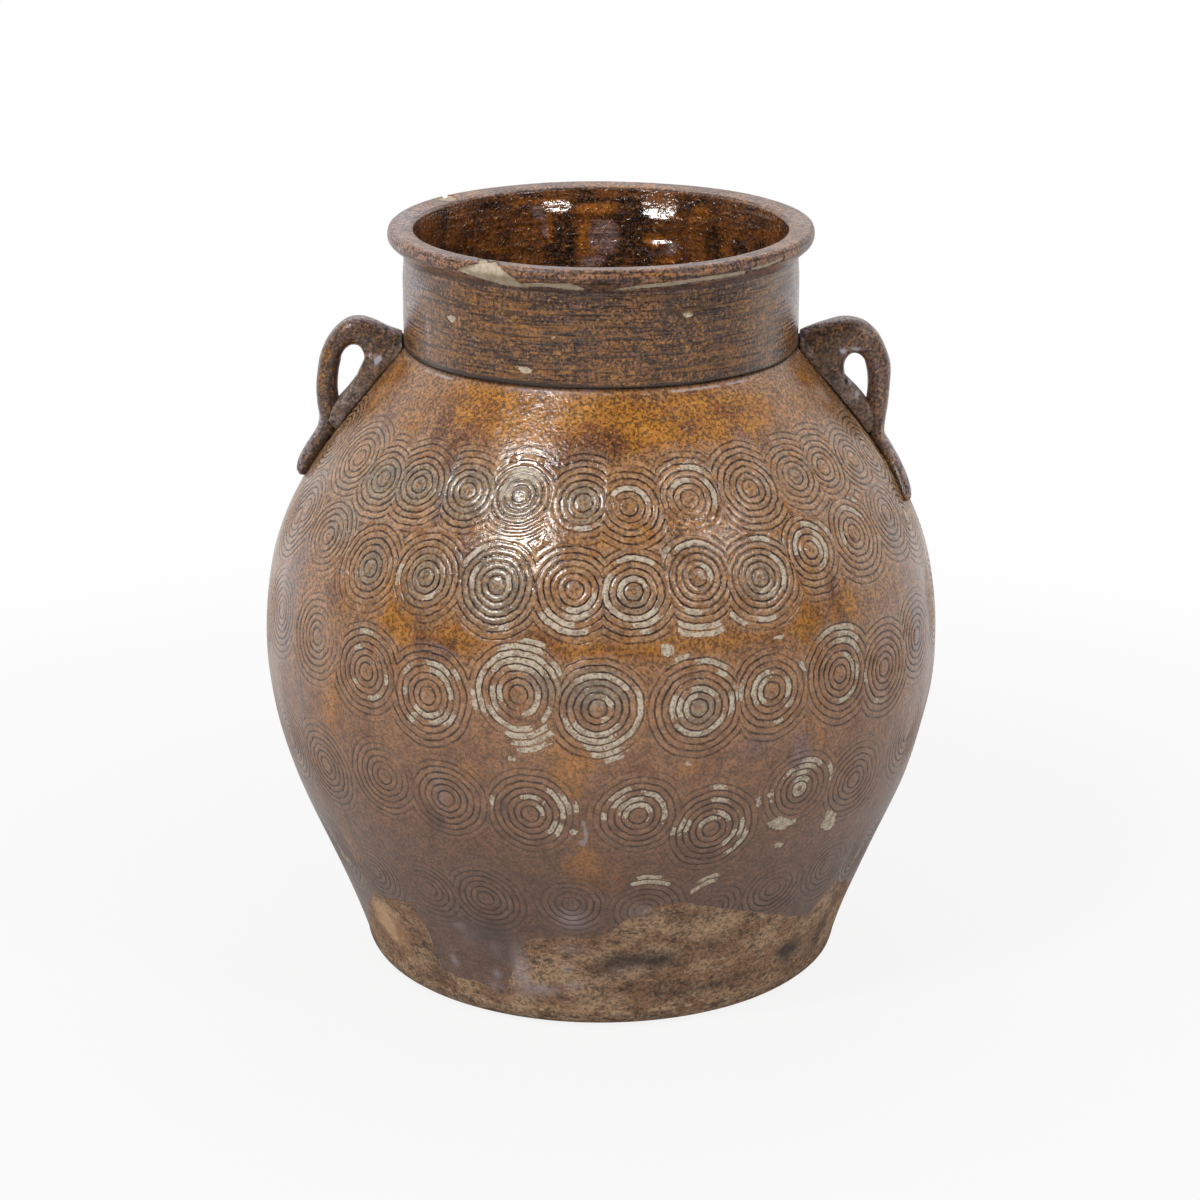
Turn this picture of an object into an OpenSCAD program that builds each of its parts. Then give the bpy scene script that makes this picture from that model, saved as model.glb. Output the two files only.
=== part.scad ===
// Martaban jar: a wide-mouthed stoneware storage jar with two loop handles.
//
// It is put together as a potter puts one together. A slab floor carries six
// wall courses, each joined to the next on a sloped (scarfed) face. A thrown
// collar stands on the shoulder and carries a rolled rim. Each handle is a
// seat strap pressed onto the shoulder, and a pulled loop that springs from
// the strap, arches over and ends in a long tail on the shoulder.
//
// Millimetres, +Z up. The origin is the middle of the foot, on the floor.
// The handles lie on the X axis.

/* [Body] */
// Height from the floor to the top of the rim
jar_h = 430; // [380:1:540]
// Outer radius of the belly where it is widest
belly_r = 193; // [165:1:235]
// Height of the widest part of the belly
belly_z = 190; // [155:1:230]
// Radius of the flat that the jar stands on
foot_r = 125; // [104:1:150]
// How far the rounded heel curves out beyond the flat
heel_out = 13.5; // [6:0.5:18]
// Height of the rounded heel, which is the edge of the floor slab
heel_h = 12; // [8:0.5:18]
// Thickness of the body wall
wall = 11; // [8:0.5:14]
// Radius of the cove between the wall and the floor inside
cove_r = 14; // [6:0.5:20]
// Slope of each course joint, as the rise of its inner edge
scarf = 5; // [0:0.5:8]

/* [Courses] */
// Height of the joint above the plain foot course
foot_joint_z = 58; // [45:1:66]
// Height of the joint above the flank course
flank_joint_z = 117; // [95:1:135]
// Height of the joint above the belly course
belly_joint_z = 178; // [150:1:200]
// Height of the joint above the high belly course
high_joint_z = 240; // [215:1:250]
// Height of the joint above the shoulder course
shoulder_joint_z = 289; // [270:1:296]

/* [Collar and rim] */
// Outer radius of the collar
neck_r = 111; // [95:0.5:125]
// Radius of the round bore through the collar
bore_r = 102.5; // [86:0.5:107]
// Height of the collar, from the shoulder to the underside of the roll
neck_h = 50.5; // [38:0.5:66]
// How far the foot of the collar stands proud of the shoulder
collar_lip = 1.2; // [0.4:0.1:2]
// How far the collar draws in under the roll
waist_in = 0.7; // [0:0.1:2]
// Height of the rolled rim
roll_h = 20; // [15:0.5:26]
// How far the roll overhangs the collar
roll_out = 8.2; // [5:0.1:12]
// How far the mouth opens out inside the roll
mouth_out = 1.4; // [0.5:0.1:3]

/* [Handles] */
// Width of both loops, seen from the side of the jar
loop_w = 17.5; // [14:0.5:22]
// Length of shoulder that the left loop spans
left_span = 63; // [52:1:72]
// Height of the left loop above the shoulder
left_rise = 36; // [30:0.5:44]
// Length of the tail of the left loop
left_tail = 38; // [28:1:54]
// Height of the left tail above the shoulder
left_tail_h = 8.5; // [6:0.5:11]
// Thickness of the left seat strap
left_strap_t = 6.5; // [4:0.5:8]
// Length of shoulder that the right loop spans
right_span = 66; // [52:1:72]
// Height of the right loop above the shoulder
right_rise = 39; // [30:0.5:44]
// Length of the tail of the right loop
right_tail = 45; // [28:1:54]
// Height of the right tail above the shoulder
right_tail_h = 6.5; // [6:0.5:11]
// How far the tip of the right tail wanders towards the front
tail_drift = 28; // [0:1:32]
// Thickness of the right seat strap
right_strap_t = 5.5; // [4:0.5:8]
// Width of the seat straps
strap_w = 20; // [16:0.5:26]
// Gap between each handle and the collar
neck_gap = 1.5; // [1:0.1:4]

/* [Hidden] */
$fn = 160;

seam_z = jar_h - roll_h - neck_h;
roll_z = jar_h - roll_h;
waist_r = neck_r - waist_in;
seam_r = neck_r - collar_lip;
heel_r = foot_r + heel_out;
rim_r = neck_r + roll_out;
mouth_r = bore_r + mouth_out;

// Colours, as the fired glaze shows them
LOWER_GLAZE = [0.40, 0.28, 0.20];
SHOULDER_GLAZE = [0.52, 0.33, 0.16];
BARE_CLAY = [0.60, 0.46, 0.33];
NECK_GLAZE = [0.38, 0.25, 0.17];

// A point on the cubic curve with the four control points P, at t from 0 to 1
function curve_at(P, t) = pow(1 - t, 3) * P[0] + 3 * pow(1 - t, 2) * t * P[1]
    + 3 * (1 - t) * t * t * P[2] + t * t * t * P[3];

// The whole curve in n steps, without its first point
function curve(P, n) = [for (i = [1:n]) curve_at(P, i / n)];

// Body outline as [height, radius]. The flank leaves the heel at heel_lean from
// upright, the shoulder meets the collar at seam_lean, and both run smoothly
// into the upright tangent at the belly. The numbers are shares of each rise.
heel_lean = 16.5;
seam_lean = 39.5;
flank_rise = belly_z - heel_h;
shoulder_rise = seam_z - belly_z;
FLANK = [[heel_h, heel_r],
    [heel_h + 0.35 * flank_rise, heel_r + 0.35 * flank_rise * tan(heel_lean)],
    [belly_z - 0.38 * flank_rise, belly_r],
    [belly_z, belly_r]];
SHOULDER = [[belly_z, belly_r],
    [belly_z + 0.45 * shoulder_rise, belly_r],
    [seam_z - 0.38 * shoulder_rise, seam_r + 0.38 * shoulder_rise * tan(seam_lean)],
    [seam_z, seam_r]];
SKIN = concat([FLANK[0]], curve(FLANK, 14), curve(SHOULDER, 16));

// Outer radius of the body at height z, carried on straight above the seam
function skin_r(z) = lookup(z, SKIN) - max(0, z - seam_z) * tan(seam_lean);

// Slope of the outline at height z, as change of radius for each mm of rise
function skin_slope(z) = (skin_r(z + 2) - skin_r(z - 2)) / 4;

// The point that lies out mm from the skin at height z, square to it
function off_skin(z, out) = let (s = skin_slope(z), n = sqrt(1 + s * s))
    [skin_r(z) + out / n, z - out * s / n];

// The inside of the wall behind height z, never narrower than the bore
function inside(z) = let (p = off_skin(z, -wall)) [max(bore_r, p[0]), p[1]];

// Heights of the outline's stations that lie between two heights
function stations(z0, z1) = [for (p = SKIN) if (p[0] > z0 + 0.5 && p[0] < z1 - 0.5) p[0]];

// A list back to front
function reversed(list) = [for (i = [len(list) - 1:-1:0]) list[i]];

// One wall course between two joints. Both joint faces rise inwards by scarf.
module course(z0, z1) {
    outer = [z0, each stations(z0, z1), z1];
    inner = [z0 + scarf, each stations(z0 + scarf, z1 + scarf), z1 + scarf];
    rotate_extrude()
        polygon([for (z = outer) [skin_r(z), z], each [for (z = reversed(inner)) inside(z)]]);
}

module base_slab() {
    // The heel is a quarter ellipse from the flat foot up to the slab's top edge
    heel = [for (a = [0:15:90]) [foot_r + heel_out * sin(a), heel_h * (1 - cos(a))]];
    color(BARE_CLAY) rotate_extrude() polygon([[0, 0], each heel, [0, heel_h]]);
}

module foot_course() {
    // The lowest course stands on the slab, and a cove runs from it to the floor
    z1 = foot_joint_z;
    top = z1 + scarf;
    cove_z = heel_h + cove_r;
    outer = [heel_h, each stations(heel_h, z1), z1];
    inner = [cove_z, each stations(cove_z, top), top];
    wall_foot = inside(cove_z);
    cove = [for (a = [0:15:75]) [wall_foot[0] - cove_r * (1 - sin(a)), heel_h + cove_r * (1 - cos(a))]];
    color(BARE_CLAY) rotate_extrude()
        polygon([for (z = outer) [skin_r(z), z], each [for (z = reversed(inner)) inside(z)],
            each reversed(cove)]);
}

module flank_course() { color(LOWER_GLAZE) course(foot_joint_z, flank_joint_z); }
module belly_course() { color(LOWER_GLAZE) course(flank_joint_z, belly_joint_z); }
module high_belly_course() { color(LOWER_GLAZE) course(belly_joint_z, high_joint_z); }
module shoulder_course() { color(SHOULDER_GLAZE) course(high_joint_z, shoulder_joint_z); }

module top_course() {
    // The last course ends in a level face that carries the collar
    z0 = shoulder_joint_z;
    outer = [z0, each stations(z0, seam_z), seam_z];
    inner = [z0 + scarf, each stations(z0 + scarf, seam_z), seam_z];
    color(SHOULDER_GLAZE) rotate_extrude()
        polygon([for (z = outer) [skin_r(z), z], [bore_r, seam_z],
            each [for (z = reversed(inner)) inside(z)]]);
}

module neck_collar() {
    // A ring that overhangs the shoulder with a rounded lip and draws in a little
    // under the roll
    lip_h = 4;
    outside = [[seam_r, seam_z],
        each curve([[seam_r, seam_z], [neck_r, seam_z + 0.1 * lip_h],
            [neck_r, seam_z + 0.4 * lip_h], [neck_r, seam_z + lip_h]], 4),
        each curve([[neck_r, roll_z - 0.3 * neck_h], [neck_r, roll_z - 0.15 * neck_h],
            [waist_r, roll_z - 0.1 * neck_h], [waist_r, roll_z]], 4)];
    color(NECK_GLAZE) rotate_extrude() polygon([each outside, [bore_r, roll_z], [bore_r, seam_z]]);
}

module rim_roll() {
    // The roll swells out from the collar, turns over its widest line, and its
    // top slopes in and down to the mouth
    wide_z = jar_h - 0.28 * roll_h;
    mouth_z = jar_h - 0.32 * roll_h;
    crest_r = rim_r - 0.3 * (rim_r - mouth_r);
    swell = rim_r - waist_r;
    under = curve([[waist_r, roll_z], [waist_r + 0.3 * swell, roll_z + 0.25 * roll_h],
        [rim_r, wide_z - 0.25 * roll_h], [rim_r, wide_z]], 7);
    over = curve([[rim_r, wide_z], [rim_r, jar_h - 0.06 * roll_h],
        [crest_r + 0.6 * (rim_r - crest_r), jar_h], [crest_r, jar_h]], 5);
    lip = curve([[crest_r, jar_h], [crest_r - 0.4 * (crest_r - mouth_r), jar_h],
        [mouth_r + 0.1 * (crest_r - mouth_r), mouth_z + 0.6 * (jar_h - mouth_z)],
        [mouth_r, mouth_z]], 5);
    throat = curve([[mouth_r, mouth_z], [mouth_r - 0.5 * mouth_out, mouth_z - 0.25 * roll_h],
        [bore_r, roll_z + 0.25 * roll_h], [bore_r, roll_z]], 4);
    color(NECK_GLAZE) rotate_extrude()
        polygon([[waist_r, roll_z], each under, each over, each lip, each throat]);
}

// Everything that the handles seat against: the body and the space that is
// kept round the collar
module seat(run) {
    low = run_z(run + 20);
    rotate_extrude()
        polygon([[0, low], [skin_r(low), low], for (z = stations(low, seam_z)) [skin_r(z), z],
            [seam_r, seam_z], [0, seam_z]]);
    translate([0, 0, seam_z - 1]) cylinder(r = neck_r + neck_gap, h = jar_h - seam_z);
}

// Height on the shoulder after a run of s mm down from the seam
function run_z(s) = seam_z - s * cos(seam_lean);

// A block that follows the shoulder for a run down from the collar: out mm thick
// and wide mm across, with square sides and a square end
module shoulder_band(run, out, wide) {
    top = seam_z + 4;
    end_z = run_z(run);
    heights = [top, seam_z, each reversed(stations(end_z, seam_z)), end_z - 2 * out];
    intersection() {
        rotate_extrude()
            polygon([for (z = heights) [skin_r(z) - 1, z], for (z = reversed(heights)) off_skin(z, out)]);
        translate([0, -wide / 2, end_z - 3 * out]) cube([skin_r(end_z), wide, top - end_z + 6 * out]);
    }
}

// The seat strap for the handle on +X, from the collar to the foot of the loop
module strap(span, thick) {
    difference() {
        shoulder_band(span, thick, strap_w);
        seat(span);
    }
}

// Rails of a pulled loop, as [outer run, outer height, inner run, inner height,
// width]. Each row is one cross-section between the outer and the inner edge of
// the loop. Runs are shares of the span down the shoulder, heights shares of the
// rise above it and widths shares of the full width. The first rows are the web
// of clay that fills the corner between the loop's root and its strap.
LEFT_ARCH = [[-0.07, 0.04, 0.66, 0.04, 1.06],
    [-0.06, 0.20, 0.61, 0.20, 1.08],
    [-0.02, 0.38, 0.49, 0.28, 1.08],
    [0.02, 0.62, 0.35, 0.34, 1.04],
    [0.07, 0.81, 0.29, 0.50, 1.00],
    [0.15, 0.94, 0.32, 0.62, 1.00],
    [0.27, 1.00, 0.39, 0.66, 1.00],
    [0.42, 0.99, 0.46, 0.64, 1.00],
    [0.56, 0.92, 0.50, 0.60, 1.00],
    [0.69, 0.80, 0.58, 0.53, 1.00],
    [0.82, 0.65, 0.69, 0.40, 1.00],
    [0.94, 0.47, 0.80, 0.23, 1.00],
    [1.01, 0.34, 0.89, 0.12, 1.00]];
RIGHT_ARCH = [[-0.07, 0.04, 0.62, 0.04, 1.06],
    [-0.06, 0.20, 0.57, 0.16, 1.08],
    [-0.03, 0.38, 0.48, 0.25, 1.08],
    [0.02, 0.57, 0.41, 0.34, 1.04],
    [0.07, 0.74, 0.38, 0.44, 1.00],
    [0.14, 0.87, 0.38, 0.53, 1.00],
    [0.24, 0.97, 0.42, 0.59, 1.00],
    [0.38, 1.00, 0.48, 0.60, 1.00],
    [0.52, 0.95, 0.54, 0.56, 1.00],
    [0.66, 0.85, 0.61, 0.49, 1.00],
    [0.80, 0.65, 0.69, 0.38, 1.00],
    [0.92, 0.46, 0.79, 0.23, 1.00],
    [1.00, 0.32, 0.89, 0.11, 1.00]];

// Rails of the tail. Runs are shares of the tail's length, past the span, and
// heights shares of the tail's height.
TAIL = [[0.13, 1.15, 0.02, -0.15, 1.00],
    [0.26, 1.03, 0.18, -0.15, 0.98],
    [0.50, 0.99, 0.47, -0.15, 0.92],
    [0.75, 0.90, 0.70, -0.15, 0.80],
    [0.93, 0.70, 0.87, -0.15, 0.60],
    [1.00, 0.35, 0.95, -0.12, 0.36]];

// All the rails of one handle in millimetres, with its sideways drift last. The
// drift grows along the tail.
function rails(arch, span, rise, tail, tail_h, drift) = concat(
    [for (q = arch) [q[0] * span, q[1] * rise, q[2] * span, q[3] * rise, q[4] * loop_w / 2, 0]],
    [for (q = TAIL) [span + q[0] * tail, q[1] * tail_h, span + q[2] * tail, q[3] * tail_h,
        q[4] * loop_w / 2, drift * pow(q[0], 1.4)]]);

// A smooth curve through the list P, which passes through every item of it
function through(P, i, t) = let (n = len(P) - 1, a = P[max(i - 1, 0)], b = P[i],
    c = P[i + 1], d = P[min(i + 2, n)])
    0.5 * (2 * b + (c - a) * t + (2 * a - 5 * b + 4 * c - d) * t * t
        + (3 * b - a - 3 * c + d) * t * t * t);

// A point given by its run down the shoulder and its height above it
function on_shoulder(run, height) = off_skin(run_z(run), height);

// A rounded cross-section with half sizes of 1, between an ellipse and a square
function rounded(sides) = [for (k = [0:sides - 1]) let (w = 360 * k / sides)
    [sign(cos(w)) * pow(abs(cos(w)), 0.8), sign(sin(w)) * pow(abs(sin(w)), 0.8)]];

// A ring of points round one cross-section. The drift turns it about the jar's
// axis, so that it stays seated on the round shoulder.
function ring(q, sides) = let (outer = on_shoulder(q[0], q[1]), inner = on_shoulder(q[2], q[3]),
    middle = (outer + inner) / 2, half = (outer - inner) / 2, turn = q[5] / middle[0] * 180 / PI)
    [for (c = rounded(sides)) let (x = middle[0] + half[0] * c[0], y = q[4] * c[1])
        [x * cos(turn) + y * sin(turn), y * cos(turn) - x * sin(turn), middle[1] + half[1] * c[0]]];

// A solid lofted through the rings, with flat ends
module lofted(rings) {
    n = len(rings);
    sides = len(rings[0]);
    polyhedron(
        points = [for (r = rings) each r],
        faces = [[for (k = [0:sides - 1]) k],
            [for (k = [sides - 1:-1:0]) (n - 1) * sides + k],
            for (i = [0:n - 2]) for (k = [0:sides - 1]) let (m = (k + 1) % sides)
                each [[i * sides + k, (i + 1) * sides + k, (i + 1) * sides + m],
                    [i * sides + k, (i + 1) * sides + m, i * sides + m]]]);
}

// The pulled loop for the handle on +X, cut to seat on its strap and the body.
// The cut for the strap runs past both sides of the loop.
module loop(arch, span, rise, tail, tail_h, drift, strap_t) {
    few = rails(arch, span, rise, tail, tail_h, drift);
    many = [for (i = [0:len(few) - 2]) for (t = [0, 0.5]) through(few, i, t), few[len(few) - 1]];
    difference() {
        lofted([for (q = many) ring(q, 16)]);
        seat(span + tail);
        shoulder_band(span, strap_t, 2 * strap_w);
    }
}

module left_handle_strap() { color(LOWER_GLAZE) mirror([1, 0, 0]) strap(left_span, left_strap_t); }
module left_handle_loop() {
    color(NECK_GLAZE) mirror([1, 0, 0])
        loop(LEFT_ARCH, left_span, left_rise, left_tail, left_tail_h, 0, left_strap_t);
}
module right_handle_strap() { color(LOWER_GLAZE) strap(right_span, right_strap_t); }
module right_handle_loop() {
    color(NECK_GLAZE)
        loop(RIGHT_ARCH, right_span, right_rise, right_tail, right_tail_h, tail_drift, right_strap_t);
}

base_slab();
foot_course();
flank_course();
belly_course();
high_belly_course();
shoulder_course();
top_course();
neck_collar();
rim_roll();
left_handle_strap();
left_handle_loop();
right_handle_strap();
right_handle_loop();
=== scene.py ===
# %% [markdown]
# # A stamped martaban jar
# The jar is stoneware, built from rings of clay, stamped all over with a
# carved wooden stamp and coated in a thin, runny ash glaze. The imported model
# is loaded first and stays as it is. Each of its pieces is then replaced by a
# finer surface of the same size in the same place.

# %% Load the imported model
import bpy
import numpy as np
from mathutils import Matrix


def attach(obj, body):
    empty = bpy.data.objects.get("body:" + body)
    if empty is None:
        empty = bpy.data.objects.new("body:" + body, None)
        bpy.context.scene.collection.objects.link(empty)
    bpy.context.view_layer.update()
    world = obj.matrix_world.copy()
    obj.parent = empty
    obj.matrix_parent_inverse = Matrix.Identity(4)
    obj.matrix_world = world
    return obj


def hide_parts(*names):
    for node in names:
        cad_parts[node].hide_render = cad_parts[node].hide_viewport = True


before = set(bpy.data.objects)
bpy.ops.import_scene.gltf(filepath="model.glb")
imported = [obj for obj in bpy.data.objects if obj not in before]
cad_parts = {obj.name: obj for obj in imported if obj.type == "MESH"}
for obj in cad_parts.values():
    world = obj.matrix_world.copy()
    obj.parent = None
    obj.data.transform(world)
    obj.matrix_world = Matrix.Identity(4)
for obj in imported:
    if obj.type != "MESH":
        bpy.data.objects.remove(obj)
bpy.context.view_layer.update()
print("pieces in the frame:", sorted(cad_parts))

# %% [markdown]
# ## The outline of the body
# Two cubic curves meet upright at the belly, as in the construction model.
# All shapes are worked out in millimetres and turned into metres in one place,
# where a mesh is made.

# %% Sizes of the jar
MM = 0.001
JAR_H, BELLY_R, BELLY_Z = 430, 193, 190
FOOT_R, HEEL_OUT, HEEL_H = 125, 13.5, 12
WALL, COVE_R, SCARF = 11, 14, 5
JOINTS = [12, 58, 117, 178, 240, 289]
NECK_R, BORE_R, NECK_H = 111, 102.5, 50.5
COLLAR_LIP, WAIST_IN = 1.2, 0.7
ROLL_H, ROLL_OUT, MOUTH_OUT = 20, 8.2, 1.4
SEAM_Z = JAR_H - ROLL_H - NECK_H
ROLL_Z = JAR_H - ROLL_H
SEAM_R = NECK_R - COLLAR_LIP
HEEL_R = FOOT_R + HEEL_OUT
HEEL_LEAN, SEAM_LEAN = np.radians(16.5), np.radians(39.5)


# %% The outline curves
def cubic(points, steps):
    """Cubic curve through the first and last control point, pulled by the two between."""
    t = np.linspace(0, 1, steps + 1)[:, None]
    a, b, c, d = np.array(points, float)
    return (1 - t) ** 3 * a + 3 * (1 - t) ** 2 * t * b + 3 * (1 - t) * t * t * c + t ** 3 * d


flank_rise, shoulder_rise = BELLY_Z - HEEL_H, SEAM_Z - BELLY_Z
flank = cubic([[HEEL_H, HEEL_R],
               [HEEL_H + 0.35 * flank_rise, HEEL_R + 0.35 * flank_rise * np.tan(HEEL_LEAN)],
               [BELLY_Z - 0.38 * flank_rise, BELLY_R], [BELLY_Z, BELLY_R]], 120)
shoulder = cubic([[BELLY_Z, BELLY_R], [BELLY_Z + 0.45 * shoulder_rise, BELLY_R],
                  [SEAM_Z - 0.38 * shoulder_rise, SEAM_R + 0.38 * shoulder_rise * np.tan(SEAM_LEAN)],
                  [SEAM_Z, SEAM_R]], 120)
outline = np.vstack([flank, shoulder[1:]])
outline_arc = np.concatenate([[0], np.cumsum(np.hypot(*np.diff(outline, axis=0).T))])


def skin_r(z):
    """Radius of the skin at height z, carried on straight above the seam."""
    return np.interp(z, outline[:, 0], outline[:, 1]) - np.maximum(0, z - SEAM_Z) * np.tan(SEAM_LEAN)


def skin_arc(z):
    """Length along the skin from the heel up to height z."""
    return np.interp(z, outline[:, 0], outline_arc)


def off_skin(z, out):
    """Radius and height of the point out mm from the skin, square to it."""
    slope = (skin_r(z + 2) - skin_r(z - 2)) / 4
    n = np.sqrt(1 + slope ** 2)
    return skin_r(z) + out / n, z - out * slope / n


# %% [markdown]
# ## The camera
# The camera's place was fitted to the ellipses of the rim, the seam and the
# foot. The same numbers turn a pixel of the 1200 x 1200 photograph into a
# point on the jar, so marks can be named by the pixel where they are seen.

# %% Camera and pixels
PIXELS = 1200
FOCAL_PX = 3118
CAMERA_DISTANCE, CAMERA_TILT, TARGET_Z = 1801.8, np.radians(17.864), 206.93
AXIS_PX = 601
camera_at = np.array([0, -CAMERA_DISTANCE * np.cos(CAMERA_TILT),
                      TARGET_Z + CAMERA_DISTANCE * np.sin(CAMERA_TILT)])
forward = np.array([0, np.cos(CAMERA_TILT), -np.sin(CAMERA_TILT)])
upward = np.array([0, np.sin(CAMERA_TILT), np.cos(CAMERA_TILT)])


def pixel_of(points):
    """Pixel column and row at which points, in millimetres, are seen."""
    ray = points - camera_at
    depth = ray @ forward
    return AXIS_PX + FOCAL_PX * ray[..., 0] / depth, PIXELS / 2 - FOCAL_PX * (ray @ upward) / depth


camera = bpy.data.objects.new("camera", bpy.data.cameras.new("camera"))
bpy.context.scene.collection.objects.link(camera)
camera.data.sensor_width = 36
camera.data.lens = 36 * FOCAL_PX / PIXELS
camera.data.shift_x = (PIXELS / 2 - AXIS_PX) / PIXELS
camera.location = camera_at * MM
camera.rotation_euler = (np.pi / 2 - CAMERA_TILT, 0, 0)
bpy.context.scene.camera = camera
print("camera at", np.round(camera_at), "mm, lens", round(camera.data.lens, 2))

# %% [markdown]
# ## From arrays to meshes
# Every piece is a grid of points that closes on itself in both directions, or
# ends in a pole. One function turns such a grid into a closed mesh whose faces
# point outwards.

# %% Mesh maker
rng = np.random.default_rng(7)


def grid_mesh(name, points, marks=None, inner_rows=None, wrap_rows=True, flat_rows=()):
    """Mesh from points[row, column]. Columns run round the piece and close.
    Rows close too, or end in poles. marks are per-point values, by name. Faces
    whose row is in inner_rows get the second material, and those in flat_rows
    are shaded flat, so that the edges beside them stay crisp."""
    rows, cols = points.shape[:2]
    i = np.arange(rows if wrap_rows else rows - 1)[:, None]
    j = np.arange(cols)[None, :]
    down, side = (i + 1) % rows, (j + 1) % cols
    quads = np.stack([i * cols + j, i * cols + side, down * cols + side, down * cols + j], -1)
    verts = points.reshape(-1, 3) * MM
    faces = quads.reshape(-1, 4)
    second = np.zeros((len(i), cols), bool)
    if inner_rows is not None:
        second[inner_rows[:len(i)]] = True
    tris = np.empty((0, 3), int)
    if not wrap_rows:
        ends = np.stack([points[0].mean(0), points[-1].mean(0)]) * MM
        n = len(verts)
        verts = np.vstack([verts, ends])
        k = np.arange(cols)
        first, last = k, (rows - 1) * cols + k
        tris = np.vstack([np.stack([np.full(cols, n), np.roll(first, -1), first], -1),
                          np.stack([np.full(cols, n + 1), last, np.roll(last, -1)], -1)])
    mesh = bpy.data.meshes.new(name)
    mesh.vertices.add(len(verts))
    mesh.vertices.foreach_set("co", verts.astype(np.float32).ravel())
    loops = np.concatenate([faces.ravel(), tris.ravel()]).astype(np.int32)
    sizes = np.concatenate([np.full(len(faces), 4), np.full(len(tris), 3)])
    mesh.loops.add(len(loops))
    mesh.loops.foreach_set("vertex_index", loops)
    mesh.polygons.add(len(sizes))
    mesh.polygons.foreach_set("loop_start", (np.cumsum(sizes) - sizes).astype(np.int32))
    mesh.polygons.foreach_set("material_index", np.concatenate(
        [second.ravel(), np.zeros(len(tris), bool)]).astype(np.int32))
    smooth = np.ones((len(i), cols), bool)
    smooth[list(flat_rows)] = False
    mesh.polygons.foreach_set("use_smooth", np.concatenate([smooth.ravel(), np.ones(len(tris), bool)]))
    for mark, values in (marks or {}).items():
        full = np.zeros(len(verts), np.float32)
        full[:rows * cols] = np.broadcast_to(values, (rows, cols)).ravel()
        mesh.attributes.new(mark, "FLOAT", "POINT").data.foreach_set("value", full)
    mesh.update(calc_edges=True)
    mesh.validate()
    piece = bpy.data.objects.new(name, mesh)
    bpy.context.scene.collection.objects.link(piece)
    print(name, "has", int(2 * len(faces) + len(tris)), "triangles")
    return piece


def round_the_axis(radius, height, angle):
    """Points at radius and height, turned by angle from the front (-Y) towards +X."""
    return np.stack([radius * np.sin(angle), -radius * np.cos(angle), height + 0 * radius], -1)


def swell(angle, z, seed, size=60):
    """Slow unevenness of about +-1 over the surface: a sum of sines round the jar and up it."""
    draw = np.random.default_rng(seed)
    total = 0
    for k in range(10):
        waves = draw.integers(1, 9)
        total = total + np.sin(waves * angle + draw.uniform(0.3, 1.6) * z * 6 / size
                               + draw.uniform(0, 2 * np.pi)) / 3
    return total


# %% [markdown]
# ## The stamps
# One carved wooden stamp made every mark: a boss in the middle and rings
# 3.75 mm apart. Each mark is named by the pixel of its centre. The five rows
# go on round the back, evenly, with a little of the maker's scatter. The stamp
# is flat and the wall is round, so the outer rings are faint, and where two
# marks meet, each point shows the mark whose centre is nearer.

# %% Where the stamps are
STAMP_R, FIRST_RING, PITCH = 31.0, 5.0, 3.75
ROWS_PX = [
    [(305, 507), (358, 458), (382, 480), (418, 485), (466, 492), (519, 495), (584, 504), (629, 508),
     (691, 500), (751, 490), (797, 476), (825, 467), (855, 460)],
    [(297, 516), (327, 536), (369, 569), (426, 578), (495, 585), (575, 590), (633, 593), (698, 579),
     (763, 579), (813, 550), (856, 534), (888, 514)],
    [(281, 610), (316, 637), (365, 672), (428, 696), (519, 695), (598, 709), (699, 708), (773, 691),
     (841, 675), (886, 668), (918, 636)],
    [(326, 765), (384, 777), (445, 800), (530, 815), (637, 817), (712, 830), (800, 790), (855, 780),
     (909, 733)],
    [(375, 872), (428, 890), (486, 899), (572, 904), (644, 911), (715, 907), (774, 890), (827, 868)]]
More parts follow.
